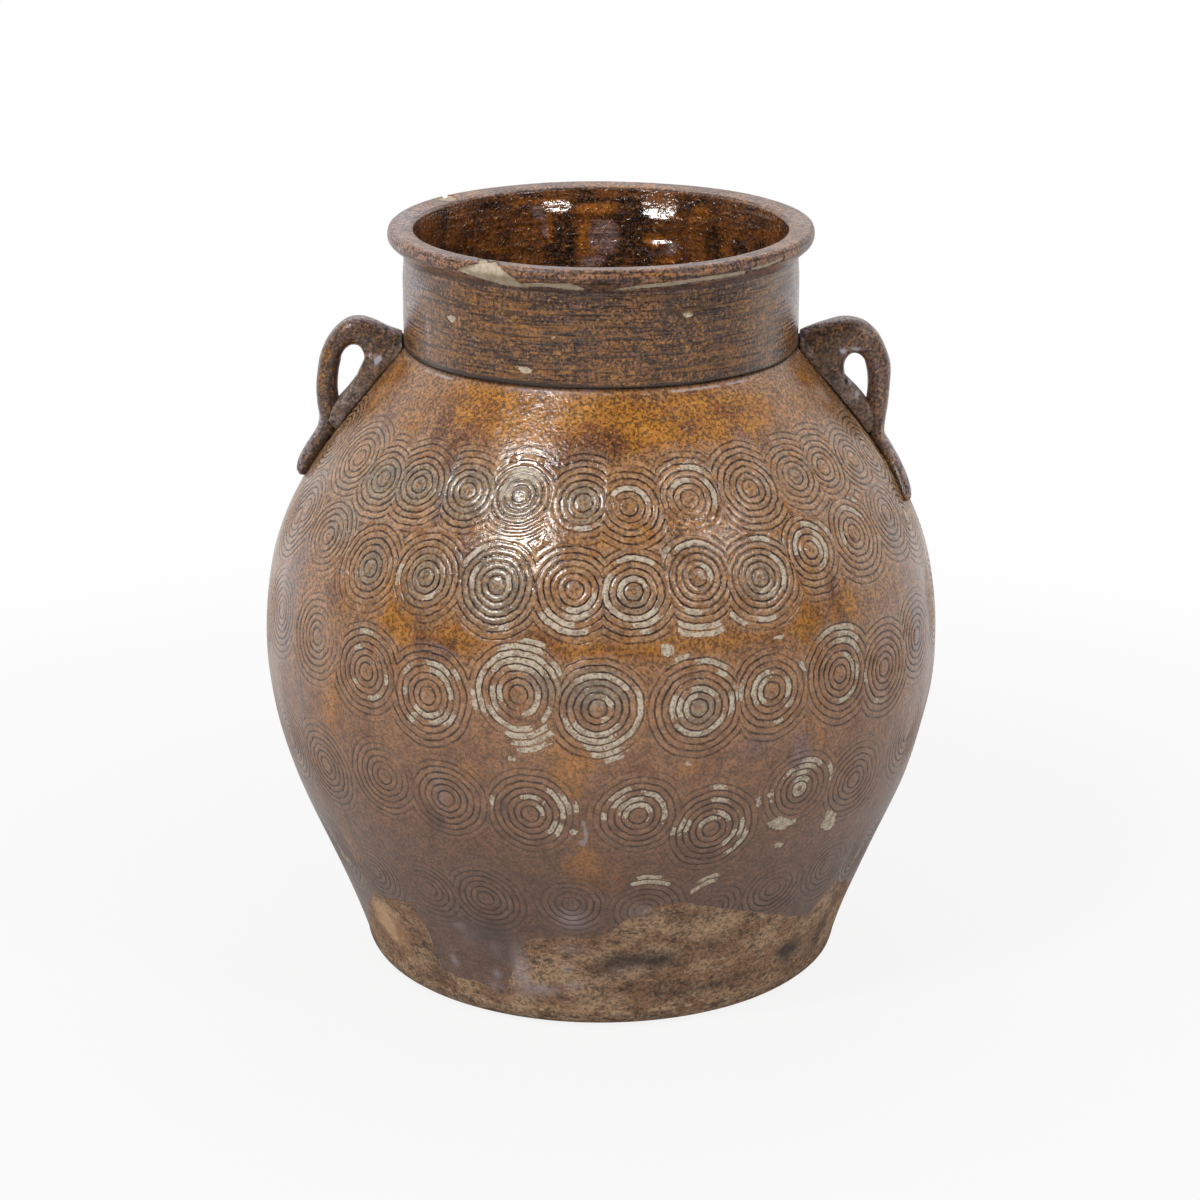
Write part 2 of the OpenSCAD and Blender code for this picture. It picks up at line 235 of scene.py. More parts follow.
WORN_ARCS = {
    (519, 495): [(45, 125, 2, 3), (130, 200, 1, 2)], (584, 504): [(255, 285, 3, 3)],
    (629, 508): [(15, 140, 2, 2)], (691, 500): [(75, 135, 2, 2), (60, 95, 4, 4), (-30, 45, 3, 3)],
    (426, 578): [(165, 200, 4, 4), (280, 310, 2, 2)],
    (495, 585): [(112, 150, 5, 5), (145, 185, 3, 3), (-20, 50, 1, 1), (280, 292, 5, 5)],
    (575, 590): [(215, 270, 4, 5), (250, 330, 2, 2), (255, 310, 3, 3), (260, 290, 5, 5), (-30, -5, 2, 2)],
    (633, 593): [(20, 200, 1, 1), (140, 325, 3, 3), (55, 115, 4, 4), (65, 98, 6, 6), (270, 315, 4, 4),
                 (280, 292, 5, 5)],
    (698, 579): [(62, 125, 4, 4), (130, 145, 5, 5), (-20, 60, 1, 1), (238, 268, 4, 4), (220, 290, 6, 7)],
    (763, 579): [(62, 92, 5, 5), (145, 160, 6, 6), (-30, 50, 3, 3), (250, 275, 1, 1), (280, 305, 2, 2),
                 (255, 280, 5, 5), (215, 240, 6, 6)],
    (813, 550): [(100, 180, 2, 2), (-30, 60, 1, 2), (285, 320, 2, 2), (45, 92, 3, 3), (10, 50, 4, 4),
                 (50, 85, 6, 6)],
    (856, 534): [(50, 105, 5, 5), (30, 95, 3, 3), (165, 200, 2, 2)],
    (365, 672): [(84, 108, 5, 5), (112, 132, 3, 3), (-12, 6, 3, 3), (285, 315, 3, 3), (210, 232, 2, 2)],
    (428, 696): [(0, 85, 3, 3), (45, 95, 4, 4), (33, 47, 5, 5), (132, 143, 4, 4), (168, 185, 3, 3),
                 (215, 310, 2, 2), (275, 330, 3, 3), (228, 242, 3, 4), (310, 335, 4, 4)],
    (519, 695): [(65, 95, 7, 7), (60, 120, 6, 6), (50, 140, 5, 5), (40, 140, 4, 4), (28, 45, 5, 6),
                 (55, 115, 3, 3), (150, 210, 5, 5), (165, 220, 3, 3), (160, 200, 2, 2), (205, 290, 4, 4),
                 (250, 315, 5, 5), (265, 312, 6, 6), (270, 300, 7, 7), (-70, 10, 2, 2), (-45, -20, 4, 4),
                 (180, 202, 6, 7)],
    (598, 709): [(250, 330, 5, 5), (262, 300, 6, 6), (278, 298, 7, 7), (-30, 25, 5, 5), (35, 130, 4, 4),
                 (10, 60, 1, 1), (-60, -40, 1, 1), (178, 188, 3, 3), (200, 300, 4, 4), (210, 320, 3, 3)],
    (699, 708): [(100, 215, 1, 1), (35, 110, 2, 2), (215, 340, 3, 3), (150, 200, 2, 3), (50, 92, 6, 6),
                 (45, 60, 5, 5), (100, 115, 7, 7), (-10, 20, 4, 4), (5, 22, 5, 5), (0, 15, 6, 6)],
    (773, 691): [(110, 230, 1, 1), (100, 200, 2, 2), (-30, 30, 2, 2), (310, 335, 3, 3), (275, 285, 4, 4),
                 (170, 195, 5, 5), (165, 185, 4, 4), (20, 35, 5, 5), (72, 82, 7, 7), (-15, -2, 6, 6)],
    (841, 675): [(60, 120, 6, 6), (45, 90, 5, 5), (30, 100, 4, 4), (0, 80, 2, 2), (260, 320, 3, 3),
                 (-20, 10, 3, 3)],
    (886, 668): [(170, 190, 4, 4), (235, 255, 4, 4)],
    (530, 815): [(0, 50, 1, 1), (60, 115, 2, 2), (-5, 60, 4, 4), (310, 345, 3, 3), (315, 345, 4, 4),
                 (10, 35, 5, 5), (5, 20, 6, 6), (160, 168, 5, 5)],
    (637, 817): [(20, 180, 1, 1), (80, 160, 2, 2), (125, 155, 3, 3), (30, 75, 3, 3), (105, 145, 4, 4),
                 (-10, 30, 3, 3), (172, 188, 4, 4)],
    (712, 830): [(80, 160, 1, 1), (170, 182, 5, 5), (155, 180, 4, 4), (150, 180, 3, 3), (-60, -10, 3, 3),
                 (-20, 10, 4, 4), (-40, -10, 5, 5), (20, 75, 2, 2), (65, 92, 4, 4), (75, 92, 6, 6),
                 (300, 312, 5, 5)],
    (800, 790): [(40, 130, 1, 1), (45, 90, 4, 4), (50, 100, 3, 3), (115, 135, 3, 3), (60, 110, 2, 2),
                 (0, 30, 5, 5), (175, 183, 4, 4), (0, 360, 0, 0)],
    (644, 911): [(60, 110, 5, 5), (70, 100, 6, 6)], (715, 907): [(100, 140, 5, 5), (95, 120, 6, 6)]}
ROW_ARCS = [1, 5, 6, 4, 1]
ROW_FIRM = [0.95, 1.0, 1.0, 0.65, 0.5]

grid_angle = np.radians(np.linspace(-88, 88, 353))[None, :]
grid_z = np.linspace(HEEL_H, SEAM_Z, 350)[:, None]
grid_u, grid_v = pixel_of(round_the_axis(skin_r(grid_z) + 0 * grid_angle, grid_z, grid_angle))


def on_skin(u, v):
    """Angle and height of the point of the skin that is seen at a pixel."""
    nearest = np.argmin((grid_u - u) ** 2 + (grid_v - v) ** 2)
    row, col = np.unravel_index(nearest, grid_u.shape)
    return grid_angle[0, col], grid_z[row, 0]


stamps = []
for row, arcs, row_firm in zip(ROWS_PX, ROW_ARCS, ROW_FIRM):
    seen = [on_skin(u, v) for u, v in row]
    stamps += [(*on_skin(u, v), WORN_ARCS.get((u, v), []), row_firm) for u, v in row]
    start, stop = seen[-1][0], seen[0][0] + 2 * np.pi
    spacing = (seen[-1][0] - seen[0][0]) / (len(seen) - 1)
    count = int(round((stop - start) / spacing))
    mean_z = np.mean([z for _, z in seen])
    for k in range(1, count):
        chance = rng.integers(0, arcs + 1)
        starts, bands = rng.uniform(0, 360, chance), rng.integers(1, 7, chance)
        worn = list(zip(starts, starts + rng.uniform(15, 90, chance), bands, bands))
        stamps.append((start + (stop - start) * k / count + rng.normal(0, 0.03),
                       mean_z + rng.normal(0, 4), worn, row_firm))
print(len(stamps), "stamp marks")


# %% The relief of the stamps
def stamp_marks(angle, z):
    """Per point: the distance from the centre of the mark that shows there, how
    firmly it is pressed (0 outside all marks), and how far it is worn to the
    clay, from 0 to 1. Band 0 is the boss, and band n lies between groove n and
    groove n + 1. Wear fades out over the last millimetres of an arc."""
    shape = np.broadcast_shapes(angle.shape, z.shape)
    ring_r, press, wear, best = (np.full(shape, fill) for fill in (60.0, 0.0, 0.0, 60.0))
    draw = np.random.default_rng(11)
    arc, radius = skin_arc(z), skin_r(z)
    for angle_0, z_0, worn, row_firm in stamps:
        turn, tilt_way = draw.uniform(0, 2 * np.pi, 2)
        tilt, firm, ahead = draw.uniform(0.1, 0.5), draw.uniform(0.85, 1.1), draw.uniform(-2.5, 2.5)
        depth_left = draw.uniform(0.75, 1.0, 24)
        rows = np.where(np.abs(arc[:, 0] - skin_arc(z_0)) < 1.15 * STAMP_R)[0]
        if len(rows) == 0:
            continue
        part = slice(rows[0], rows[-1] + 1)
        off = (angle - angle_0 + np.pi) % (2 * np.pi) - np.pi
        x = off * (radius[part] + skin_r(z_0)) / 2
        y = arc[part] - skin_arc(z_0) + 0 * x
        way = np.arctan2(y, x)
        r = np.hypot(x, y)
        r = r * (1 + 0.02 * np.sin(2 * (way - turn)) + 0.012 * np.sin(3 * way + turn)
                 + 0.007 * np.sin(7 * way - turn) + 0.004 * np.sin(13 * way + 3 * turn))
        r = r + 0.07 * (np.sin(0.5 * x + 0.9 * y + turn) + np.sin(1.3 * x - 0.6 * y + 2 * turn)
                        + np.sin(1.9 * y - 0.7 * x + 3 * turn))
        win = (r - ahead < best[part]) & (r < STAMP_R + 1)
        fade = 1 - 0.75 * np.clip((r - 14) / (STAMP_R - 14), 0, 1)
        pressed = firm * row_firm * fade * np.clip(1.2 - tilt * (1 + np.cos(way - tilt_way)), 0.2, 1)
        pressed = pressed * np.clip((STAMP_R + 1 - r) / 2, 0, 1)
        band = np.floor((r - FIRST_RING) / PITCH).astype(int) + 1
        level = np.zeros(r.shape)
        for k, (begin, end, first, last) in enumerate(worn):
            middle, half = np.radians((begin + end) / 2), np.radians((end - begin) / 2)
            inside = (half - np.abs((way - middle + np.pi) % (2 * np.pi) - np.pi)) * np.maximum(r, 4)
            soft = np.clip(inside / 4 + 0.6, 0, 1) * depth_left[k % 24]
            fringe = 0.34 * np.clip(inside / 9 + 1, 0, 1)
            here = (band >= first) & (band <= last)
            level = np.where(here, np.maximum(level, np.maximum(soft, fringe)), level)
        best[part][win] = (r - ahead)[win]
        ring_r[part][win] = r[win]
        press[part][win] = pressed[win]
        wear[part][win] = level[win]
    return ring_r, press, wear


def ring_relief(ring_r, press):
    """Depth in mm: narrow grooves between broad, softly domed crests, on a
    dish that is deepest in the middle of the mark."""
    phase = (ring_r - FIRST_RING) / PITCH
    gap = np.abs(phase - np.round(phase)) * PITCH
    gap = np.where(ring_r < FIRST_RING - PITCH / 2, PITCH / 2, gap)
    groove = np.exp(-(gap / 0.62) ** 2)
    dome = 0.2 * (gap / (PITCH / 2)) ** 2
    return -0.35 * np.exp(-(ring_r / 20) ** 2) + press * (dome - 0.2 - 0.7 * groove)


# %% [markdown]
# ## Glaze patches
# The glaze ran and pooled by chance in the kiln. Its patches of amber, grey,
# mauve and dark dirt are named by the pixel at their middle, with a width and
# a height in millimetres and a strength, and so are patches of painted sheen and
# painted highlight. Seeded ones of the same sizes go round the back.

# %% Patches on the wall
AMBER_PX = [(505, 412, 30, 20, 1.1), (465, 405, 14, 14, 0.8), (548, 428, 22, 20, 0.9), (615, 425, 28, 20, 1.1),
            (675, 422, 26, 16, 1), (705, 405, 20, 12, 0.8), (755, 408, 16, 12, 1), (800, 402, 10, 10, 0.8),
            (395, 608, 15, 26, 1.2), (345, 590, 10, 20, 0.7), (330, 700, 12, 26, 0.8), (315, 755, 8, 14, 0.6),
            (350, 840, 8, 30, 0.7), (660, 530, 22, 14, 0.6), (740, 532, 16, 18, 0.6), (605, 545, 22, 12, 0.5),
            (790, 520, 14, 16, 0.6), (808, 590, 9, 34, 1.1), (845, 605, 12, 14, 1.1), (805, 630, 10, 10, 1),
            (820, 700, 9, 34, 0.7), (460, 640, 26, 12, 0.8), (400, 655, 12, 14, 0.8), (560, 650, 30, 9, 0.6),
            (640, 650, 30, 9, 0.7), (740, 640, 26, 9, 0.5), (572, 775, 14, 28, 0.8), (592, 752, 18, 10, 0.6),
            (585, 862, 12, 20, 0.6), (380, 805, 10, 30, 0.5), (470, 772, 16, 12, 0.6), (700, 770, 30, 8, 0.4),
            (520, 545, 18, 12, 0.5), (620, 880, 60, 14, 0.3), (760, 880, 30, 14, 0.3),
            (390, 925, 22, 20, 1.1), (390, 378, 12, 14, 1.2), (804, 377, 9, 8, 1.2), (828, 399, 9, 8, 1.2), (372, 400, 14, 12, 0.7),
            (420, 420, 18, 18, 0.7), (735, 428, 22, 16, 0.8)]
DEEP_PX = [(580, 452, 26, 13, 1), (455, 455, 10, 18, 0.9), (548, 474, 10, 8, 0.6), (405, 600, 12, 14, 0.7),
           (440, 650, 18, 10, 0.8), (330, 600, 7, 22, 0.6), (478, 556, 14, 12, 0.6), (384, 420, 12, 16, 0.6),
           (535, 640, 20, 8, 0.5), (700, 545, 14, 10, 0.5), (800, 560, 7, 18, 0.6), (835, 590, 6, 20, 0.5),
           (365, 740, 6, 30, 0.6), (405, 700, 8, 20, 0.5), (470, 745, 14, 16, 0.5), (640, 770, 20, 10, 0.4),
           (610, 440, 12, 10, 0.6), (440, 430, 7, 20, 1.2), (462, 540, 6, 20, 0.9), (420, 640, 8, 26, 0.5), (310, 650, 6, 24, 0.5),
           (850, 660, 6, 26, 0.5), (770, 640, 12, 10, 0.4), (600, 620, 8, 12, 0.4), (655, 560, 8, 10, 0.4)]
GREY_PX = [(385, 480, 20, 14, 0.9), (418, 485, 14, 14, 0.8), (466, 492, 16, 18, 1), (495, 585, 20, 22, 1),
           (584, 504, 15, 16, 0.8), (426, 575, 16, 18, 0.7), (340, 520, 20, 20, 0.5), (519, 500, 14, 16, 0.9),
           (369, 569, 14, 16, 0.6), (633, 600, 16, 12, 0.5), (763, 579, 18, 18, 0.5), (540, 680, 14, 16, 0.5),
           (598, 690, 20, 14, 0.7), (316, 637, 12, 16, 0.4), (699, 708, 18, 16, 0.5), (797, 476, 12, 12, 0.4)]
MAUVE_PX = [(450, 480, 6, 38, 1.1), (425, 425, 9, 20, 0.7), (440, 790, 7, 28, 0.9), (385, 838, 8, 20, 0.6),
            (800, 770, 12, 30, 1), (725, 552, 16, 10, 0.6), (290, 600, 14, 60, 1), (300, 500, 14, 30, 0.8),
            (300, 700, 10, 30, 0.7), (915, 600, 14, 80, 0.8), (765, 745, 28, 18, 0.7), (650, 550, 20, 10, 0.3),
            (740, 440, 12, 18, 0.6), (530, 622, 14, 14, 0.5), (655, 470, 14, 14, 0.5), (560, 700, 12, 20, 0.4),
            (500, 850, 40, 20, 0.2), (690, 850, 40, 14, 0.2), (420, 400, 16, 14, 0.3), (540, 395, 10, 8, 0.6)]
# Painted sheen along the left and right edges and on the foot, painted glints on the shoulder, and a painted
# highlight line under the seam.
PAINTED_SHEEN_PX = [(278, 600, 9, 70, 0.9), (285, 480, 9, 30, 0.6), (270, 700, 8, 40, 0.5), (925, 600, 9, 90, 0.8),
           (520, 968, 5.5, 20, 1.2), (455, 960, 3, 5, 1.1), (497, 974, 3, 4, 1.1), (540, 990, 12, 5, 1.1),
           (573, 920, 10, 9, 0.9), (566, 970, 3, 5, 0.7), (573, 986, 5, 4, 0.8), (457, 925, 5, 3, 0.8),
           (495, 948, 4, 9, 0.6), (495, 986, 6, 5, 0.6), (572, 950, 9, 5, 0.5), (625, 968, 9, 7, 0.5),
           (640, 912, 9, 7, 0.6), (357, 920, 6, 24, 0.9), (470, 935, 10, 10, 0.3), (838, 880, 5, 20, 0.5),
           (508, 412, 1.4, 1.2, 1.2), (518, 410, 1.3, 1.3, 1.2), (497, 431, 1.6, 1.3, 1.2),
           (505, 437, 1.3, 1.5, 1.2), (517, 436, 1.3, 1.3, 1.2), (527, 436, 1.5, 1.2, 1.2),
           (511, 449, 1.6, 1.2, 1.1), (552, 429, 1.6, 1.3, 1), (797, 365, 1.6, 1.8, 1.2),
           (540, 391, 22, 2, 1.1), (590, 390, 4, 3, 1)]
DARK_PX = [(437, 824, 7, 8, 0.8), (446, 752, 6, 5, 0.6), (503, 806, 4, 6, 0.6), (640, 960, 22, 9, 0.8),
           (790, 950, 9, 13, 1), (540, 880, 30, 10, 0.3), (430, 950, 8, 20, 0.5), (490, 940, 14, 20, 0.5),
           (615, 962, 8, 5, 1), (700, 988, 30, 5, 0.7), (620, 990, 16, 5, 0.4), (820, 930, 7, 14, 0.9),
           (712, 943, 8, 6, 0.7), (660, 960, 14, 6, 0.8), (783, 952, 6, 6, 1.2), (596, 972, 8, 7, 0.6),
           (480, 925, 30, 16, 0.4), (440, 975, 12, 8, 0.4)]


WET_PX = [(524, 544, 17, 17, 1.2), (525, 465, 16, 9, 1.1), (717, 515, 8, 10, 0.8)]


def patches(angle, z, rows, seed):
    """Sum of soft ellipses round the named pixels, and of seeded ones behind."""
    total = np.zeros(np.broadcast_shapes(angle.shape, z.shape))
    draw = np.random.default_rng(seed)
    placed = [(*on_skin(u, v), w, h, s) for u, v, w, h, s in rows]
    for w, h, s in [(row[2], row[3], row[4]) for row in rows]:
        placed.append((draw.uniform(1.9, 4.4), draw.uniform(90, 340), w, h, s))
    arc = skin_arc(z)
    for angle_0, z_0, w, h, s in placed:
        off = (angle - angle_0 + np.pi) % (2 * np.pi) - np.pi
        x, y = off * skin_r(z) / w, (arc - skin_arc(z_0)) / h
        total = total + s * np.exp(-(x * x + y * y) * 1.4)
    return np.clip(total, 0, 1.2)


# %% [markdown]
# ## Chips
# Where the jar was knocked, the glaze and a little clay are gone. Each chip is
# an outline drawn over the photograph, pixel by pixel, and a point of the jar
# is in the chip when its own pixel is in the outline.

# %% Outlines of the chips
CHIPS_PX = {
    "big_chip": [(455, 270), (478, 263), (479.5, 258), (487, 258), (488, 262), (496, 261), (502, 270),
                 (521, 285), (521, 288), (502, 285.5), (482, 280)],
    "chip_tail": [(521, 284), (534, 283), (556, 284), (569, 283.5), (584, 289), (583, 291.5), (565, 290),
                  (545, 287.5), (521, 288)],
    "worn_edge": [(617, 289), (640, 285.5), (664, 283), (690, 279.5), (712, 276), (732, 273), (747, 271),
                  (746, 274.5), (722, 279), (700, 282), (676, 286), (650, 288.5), (617, 291.5)],
    "worn_edge_right": [(752, 268), (768, 264), (784, 257), (784, 260), (768, 267), (752, 271)],
    "neck_chip_left": [(446, 317), (451, 315), (456, 318), (452, 323)],
    "neck_chip_low": [(517, 366), (526, 367), (533, 370), (529, 374), (520, 372)],
    "neck_chip_right": [(682, 314), (688, 312), (694, 315), (687, 318)],
    "neck_speck": [(551, 337), (553, 335.5), (555.5, 337), (553, 339)],
    "back_rim_chip": [(437, 198), (446, 195), (452, 195), (457, 198), (452, 200.5), (441, 200)],
    "back_rim_wear": [(586, 190), (593, 187.5), (604, 187), (607, 190), (600, 196), (590, 195)],
    "belly_chip": [(767, 824), (770, 827), (777, 830), (786, 829), (788, 826), (793, 825), (797, 821),
                   (797, 819), (791, 820), (786, 818), (782, 816), (778, 818), (771, 822)],
    "belly_chip_right": [(822, 828), (821, 826), (824, 822), (826, 818), (828, 811), (833, 811), (837, 814),
                         (836, 820), (834, 826), (831, 829), (827, 831)],
    "belly_chip_high": [(661, 645), (667, 644), (675, 648), (674, 654), (668, 657), (662, 654)],
    "small_1": [(775, 845), (779, 842), (784, 844), (781, 847.5), (776, 848)],
    "small_2": [(767, 797), (770, 793), (774, 794), (772, 799)],
    "small_3": [(757, 799), (760.5, 797), (762, 803), (759, 809), (756.5, 806)],
    "small_4": [(569.5, 832), (573, 829), (577.5, 832), (575, 835.5), (570.5, 835)],
    "small_5": [(488.5, 799), (491, 796.5), (494.5, 799), (491.5, 804.5)],
    "small_6": [(507.5, 757), (515, 756.5), (515.5, 761), (509, 761)],
    "small_7": [(685, 763), (690, 761), (692, 765), (686.5, 767)]}
DRIP_PX = [(581, 820), (584, 821), (586, 827), (588.5, 833), (587.5, 842), (584, 847), (580.5, 846),
           (578, 841), (582.5, 841), (584.5, 834), (582.5, 827)]


def in_outline(u, v, outline_px):
    """True where the pixel lies inside the closed outline (even-odd rule)."""
    inside = np.zeros(u.shape, bool)
    count = len(outline_px)
    for k in range(count):
        (u0, v0), (u1, v1) = outline_px[k], outline_px[(k + 1) % count]
        if v0 == v1:
            continue
        crosses = ((v0 > v) != (v1 > v)) & (u < (u1 - u0) * (v - v0) / (v1 - v0) + u0)
        inside ^= crosses
    return inside


def chip_mask(points, far_rim=False):
    """1 inside any chip's outline on the side that faces the camera, and with
    far_rim also inside the outlines whose names start with back, beyond the mouth."""
    u, v = pixel_of(points)
    mask = np.zeros(u.shape)
    for name, outline_px in CHIPS_PX.items():
        back = name.startswith("back")
        if far_rim or not back:
            mask[in_outline(u, v, outline_px) & ((points[..., 1] > 0) == back)] = 1
    return mask


def seen_spots(points, rows):
    """Sum of soft ellipses, each named by its pixel, its half width and half
    height in pixels, and its strength."""
    u, v = pixel_of(points)
    total = 0 * u
    for u_0, v_0, wide, high, strength in rows:
        total = total + strength * np.exp(-((u - u_0) / wide) ** 2 - ((v - v_0) / high) ** 2)
    return np.clip(total, 0, 1.2)

# %% [markdown]
# ## The wall courses
# Each course is the solid of its joint-to-joint ring. Its outside is a fine
# grid that carries the stamps, and its hidden joint faces and inside are
# coarser.

# %% Where the glaze ends above the foot
FOOT_EDGE_PX = [(355, 915), (370, 925), (372, 893), (410, 902), (424, 925), (443, 970), (505, 990), (525, 940),
                (565, 938), (600, 935), (628, 920), (645, 910), (666, 906), (708, 906), (733, 910),
                (790, 916), (806, 917), (835, 880)]

# %% Courses
COLUMNS = 1216
ROW_STEP = 0.88
LAP = 0.03
SKIN_IN = 0.25
STAMPED_TOP = 44
angles = np.linspace(0, 2 * np.pi, COLUMNS, endpoint=False)[None, :]


edge_seen = [on_skin(u, v) for u, v in FOOT_EDGE_PX]
edge_back = [(a, 38 + 12 * np.sin(3.1 * a)) for a in np.linspace(1.6, 4.6, 9)]
edge_all = sorted([(a % (2 * np.pi), z) for a, z in edge_seen + edge_back])
foot_edge = np.interp(angles, *np.array(edge_all).T, period=2 * np.pi)
print("the glaze ends between", round(foot_edge.min()), "and", round(foot_edge.max()), "mm")


def inside_wall(z):
    """Radius and height of the inside of the wall behind height z."""
    radius, height = off_skin(z, -WALL)
    return np.maximum(BORE_R + SKIN_IN, radius), height


def course(name, z0, z1, foot=None, collar_seat=False):
    """Closed ring between two joints. The section runs up the outside, in over
    the upper joint, down the inside and out under the lower joint."""
    length = skin_arc(z1) - skin_arc(z0)
    if collar_seat:
        steps = np.concatenate([np.arange(0, STAMPED_TOP, ROW_STEP), np.linspace(STAMPED_TOP, length, 22)])
    else:
        steps = np.linspace(0, length, int(round(length / ROW_STEP)) + 1)
    z_out = np.interp(skin_arc(z0) + steps, outline_arc, outline[:, 0])
    z_out = np.concatenate([[z0 - LAP], z_out, [] if collar_seat else [z1 + LAP]])[:, None]
    ring_r, press, wear = stamp_marks(angles, z_out)
    seen = round_the_axis(skin_r(z_out) + 0 * angles, z_out, angles)
    chip = chip_mask(seen)
    out = skin_r(z_out) - SKIN_IN + ring_relief(ring_r, press) + 0.12 * swell(angles, z_out, 3)
    out = out - 0.4 * chip - 0.15 * wear
    if collar_seat:
        top = np.array([[BORE_R + SKIN_IN, SEAM_Z]])
        z_in = np.linspace(SEAM_Z, z0 + SCARF, 9)[1:, None]
    else:
        top = np.empty((0, 2))
        z_in = np.linspace(z1 + SCARF, (HEEL_H + COVE_R) if foot is not None else z0 + SCARF, 7)[:, None]
    r_in, h_in = inside_wall(z_in[:, 0])
    section = np.vstack([top, np.stack([r_in, h_in], -1)])
    if foot is not None:
        section = np.vstack([section, foot])
    hidden_r = section[:, :1] + 0 * angles
    hidden_z = section[:, 1:]
    radius = np.vstack([out, hidden_r])
    height = np.vstack([z_out, hidden_z])
    extra = len(section)
    # Painted sheen and highlights, with the real pale glaze drip added to the same mark.
    painted_sheen_and_drip = np.maximum(patches(angles, z_out, PAINTED_SHEEN_PX, 24), 1.2 * in_outline(*pixel_of(seen), DRIP_PX)
                      * (seen[..., 1] < 0))
    marks = {"ring_r": ring_r, "press": press, "wear": wear, "chip": chip, "painted_sheen_and_drip": painted_sheen_and_drip,
             "foot_edge": foot_edge + 0 * z_out, "grey": patches(angles, z_out, GREY_PX, 23),
             "amber": patches(angles, z_out, AMBER_PX, 21), "mauve": patches(angles, z_out, MAUVE_PX, 22),
             "dark": patches(angles, z_out, DARK_PX, 25), "deep": patches(angles, z_out, DEEP_PX, 26),
             "wet": patches(angles, z_out, WET_PX, 27)}
    marks = {mark: np.vstack([values, np.zeros((extra, COLUMNS))]) for mark, values in marks.items()}
    inner = np.arange(len(radius)) >= len(z_out) - 1
    return grid_mesh(name, round_the_axis(radius, height, angles), marks, inner,
                     flat_rows=[len(z_out) - 1, len(radius) - 1])


wall_foot = inside_wall(np.array([HEEL_H + COVE_R]))
cove_turn = np.radians(np.arange(75, -1, -15))
cove = np.stack([wall_foot[0] - COVE_R * (1 - np.sin(cove_turn)),
                 HEEL_H + COVE_R * (1 - np.cos(cove_turn))], -1)
NAMES = ["foot_course", "flank_course", "belly_course", "high_belly_course", "shoulder_course", "top_course"]
tops = JOINTS[1:] + [SEAM_Z]
pieces = {}
for name, z0, z1 in zip(NAMES, JOINTS, tops):
    pieces[name] = course("glazed_" + name, z0, z1, cove if name == "foot_course" else None,
                          name == "top_course")

# %% [markdown]
# ## The floor slab
# A disc with a rounded heel, closed at a pole above and below.

# %% Slab
SLAB_COLUMNS = 480
slab_angles = np.linspace(0, 2 * np.pi, SLAB_COLUMNS, endpoint=False)[None, :]
heel_turn = np.radians(np.linspace(0, 90, 14))
slab_section = np.vstack([
    np.stack([np.linspace(4, FOOT_R - 1, 18), np.zeros(18)], -1),
    np.stack([FOOT_R + HEEL_OUT * np.sin(heel_turn), HEEL_H * (1 - np.cos(heel_turn))], -1),
    np.stack([np.linspace(HEEL_R - 3, 4, 12), np.full(12, HEEL_H)], -1)])
slab_r = slab_section[:, :1] + 0 * slab_angles
heel_rows = np.exp(-((slab_section[:, 1:] - 6) / 4) ** 2) * (slab_section[:, :1] > FOOT_R)
slab_r = slab_r - heel_rows * (0.4 + 0.35 * swell(slab_angles, slab_section[:, 1:], 5, 20))
pieces["base_slab"] = grid_mesh("bare_base_slab", round_the_axis(slab_r, slab_section[:, 1:], slab_angles),
                                wrap_rows=False)

# %% [markdown]
# ## Collar and rim
# The collar keeps the fine spiral lines of the potter's fingers. The rim is a
# rolled bead with the deepest chips. Inside, the glaze ran down dark and glossy.

# %% Collar
NECK_COLUMNS = 640
neck_angles = np.linspace(0, 2 * np.pi, NECK_COLUMNS, endpoint=False)[None, :]
LIP_H = 4
waist_r = NECK_R - WAIST_IN
lip_curve = cubic([[SEAM_R, SEAM_Z], [NECK_R, SEAM_Z + 0.1 * LIP_H], [NECK_R, SEAM_Z + 0.4 * LIP_H],
                   [NECK_R, SEAM_Z + LIP_H]], 8)
waist_curve = cubic([[NECK_R, ROLL_Z - 0.3 * NECK_H], [NECK_R, ROLL_Z - 0.15 * NECK_H],
                     [waist_r, ROLL_Z - 0.1 * NECK_H], [waist_r, ROLL_Z]], 12)
neck_profile = np.vstack([lip_curve, waist_curve])
z_neck = np.concatenate([[SEAM_Z], np.linspace(SEAM_Z + LAP, ROLL_Z - LAP, 104), [ROLL_Z]])[:, None]
base_r = np.interp(z_neck, neck_profile[:, 1], neck_profile[:, 0])


# The dark patches just under the rim are partly painted shade beneath the rolled rim and partly dark glaze; those
# lower down are dark spots in the glaze.
NECK_DARK_PX = [(440, 296, 8, 9, 1), (455, 303, 13, 4, 0.9), (433, 285, 9, 6, 0.7), (600, 294, 18, 4, 0.9),
                (470, 345, 6, 16, 0.5), (590, 350, 20, 10, 0.3), (640, 296, 30, 4, 0.5), (470, 275, 14, 4, 0.5),
                (560, 292, 24, 3, 0.6), (700, 300, 30, 8, 0.25), (430, 275, 12, 4, 0.5)]
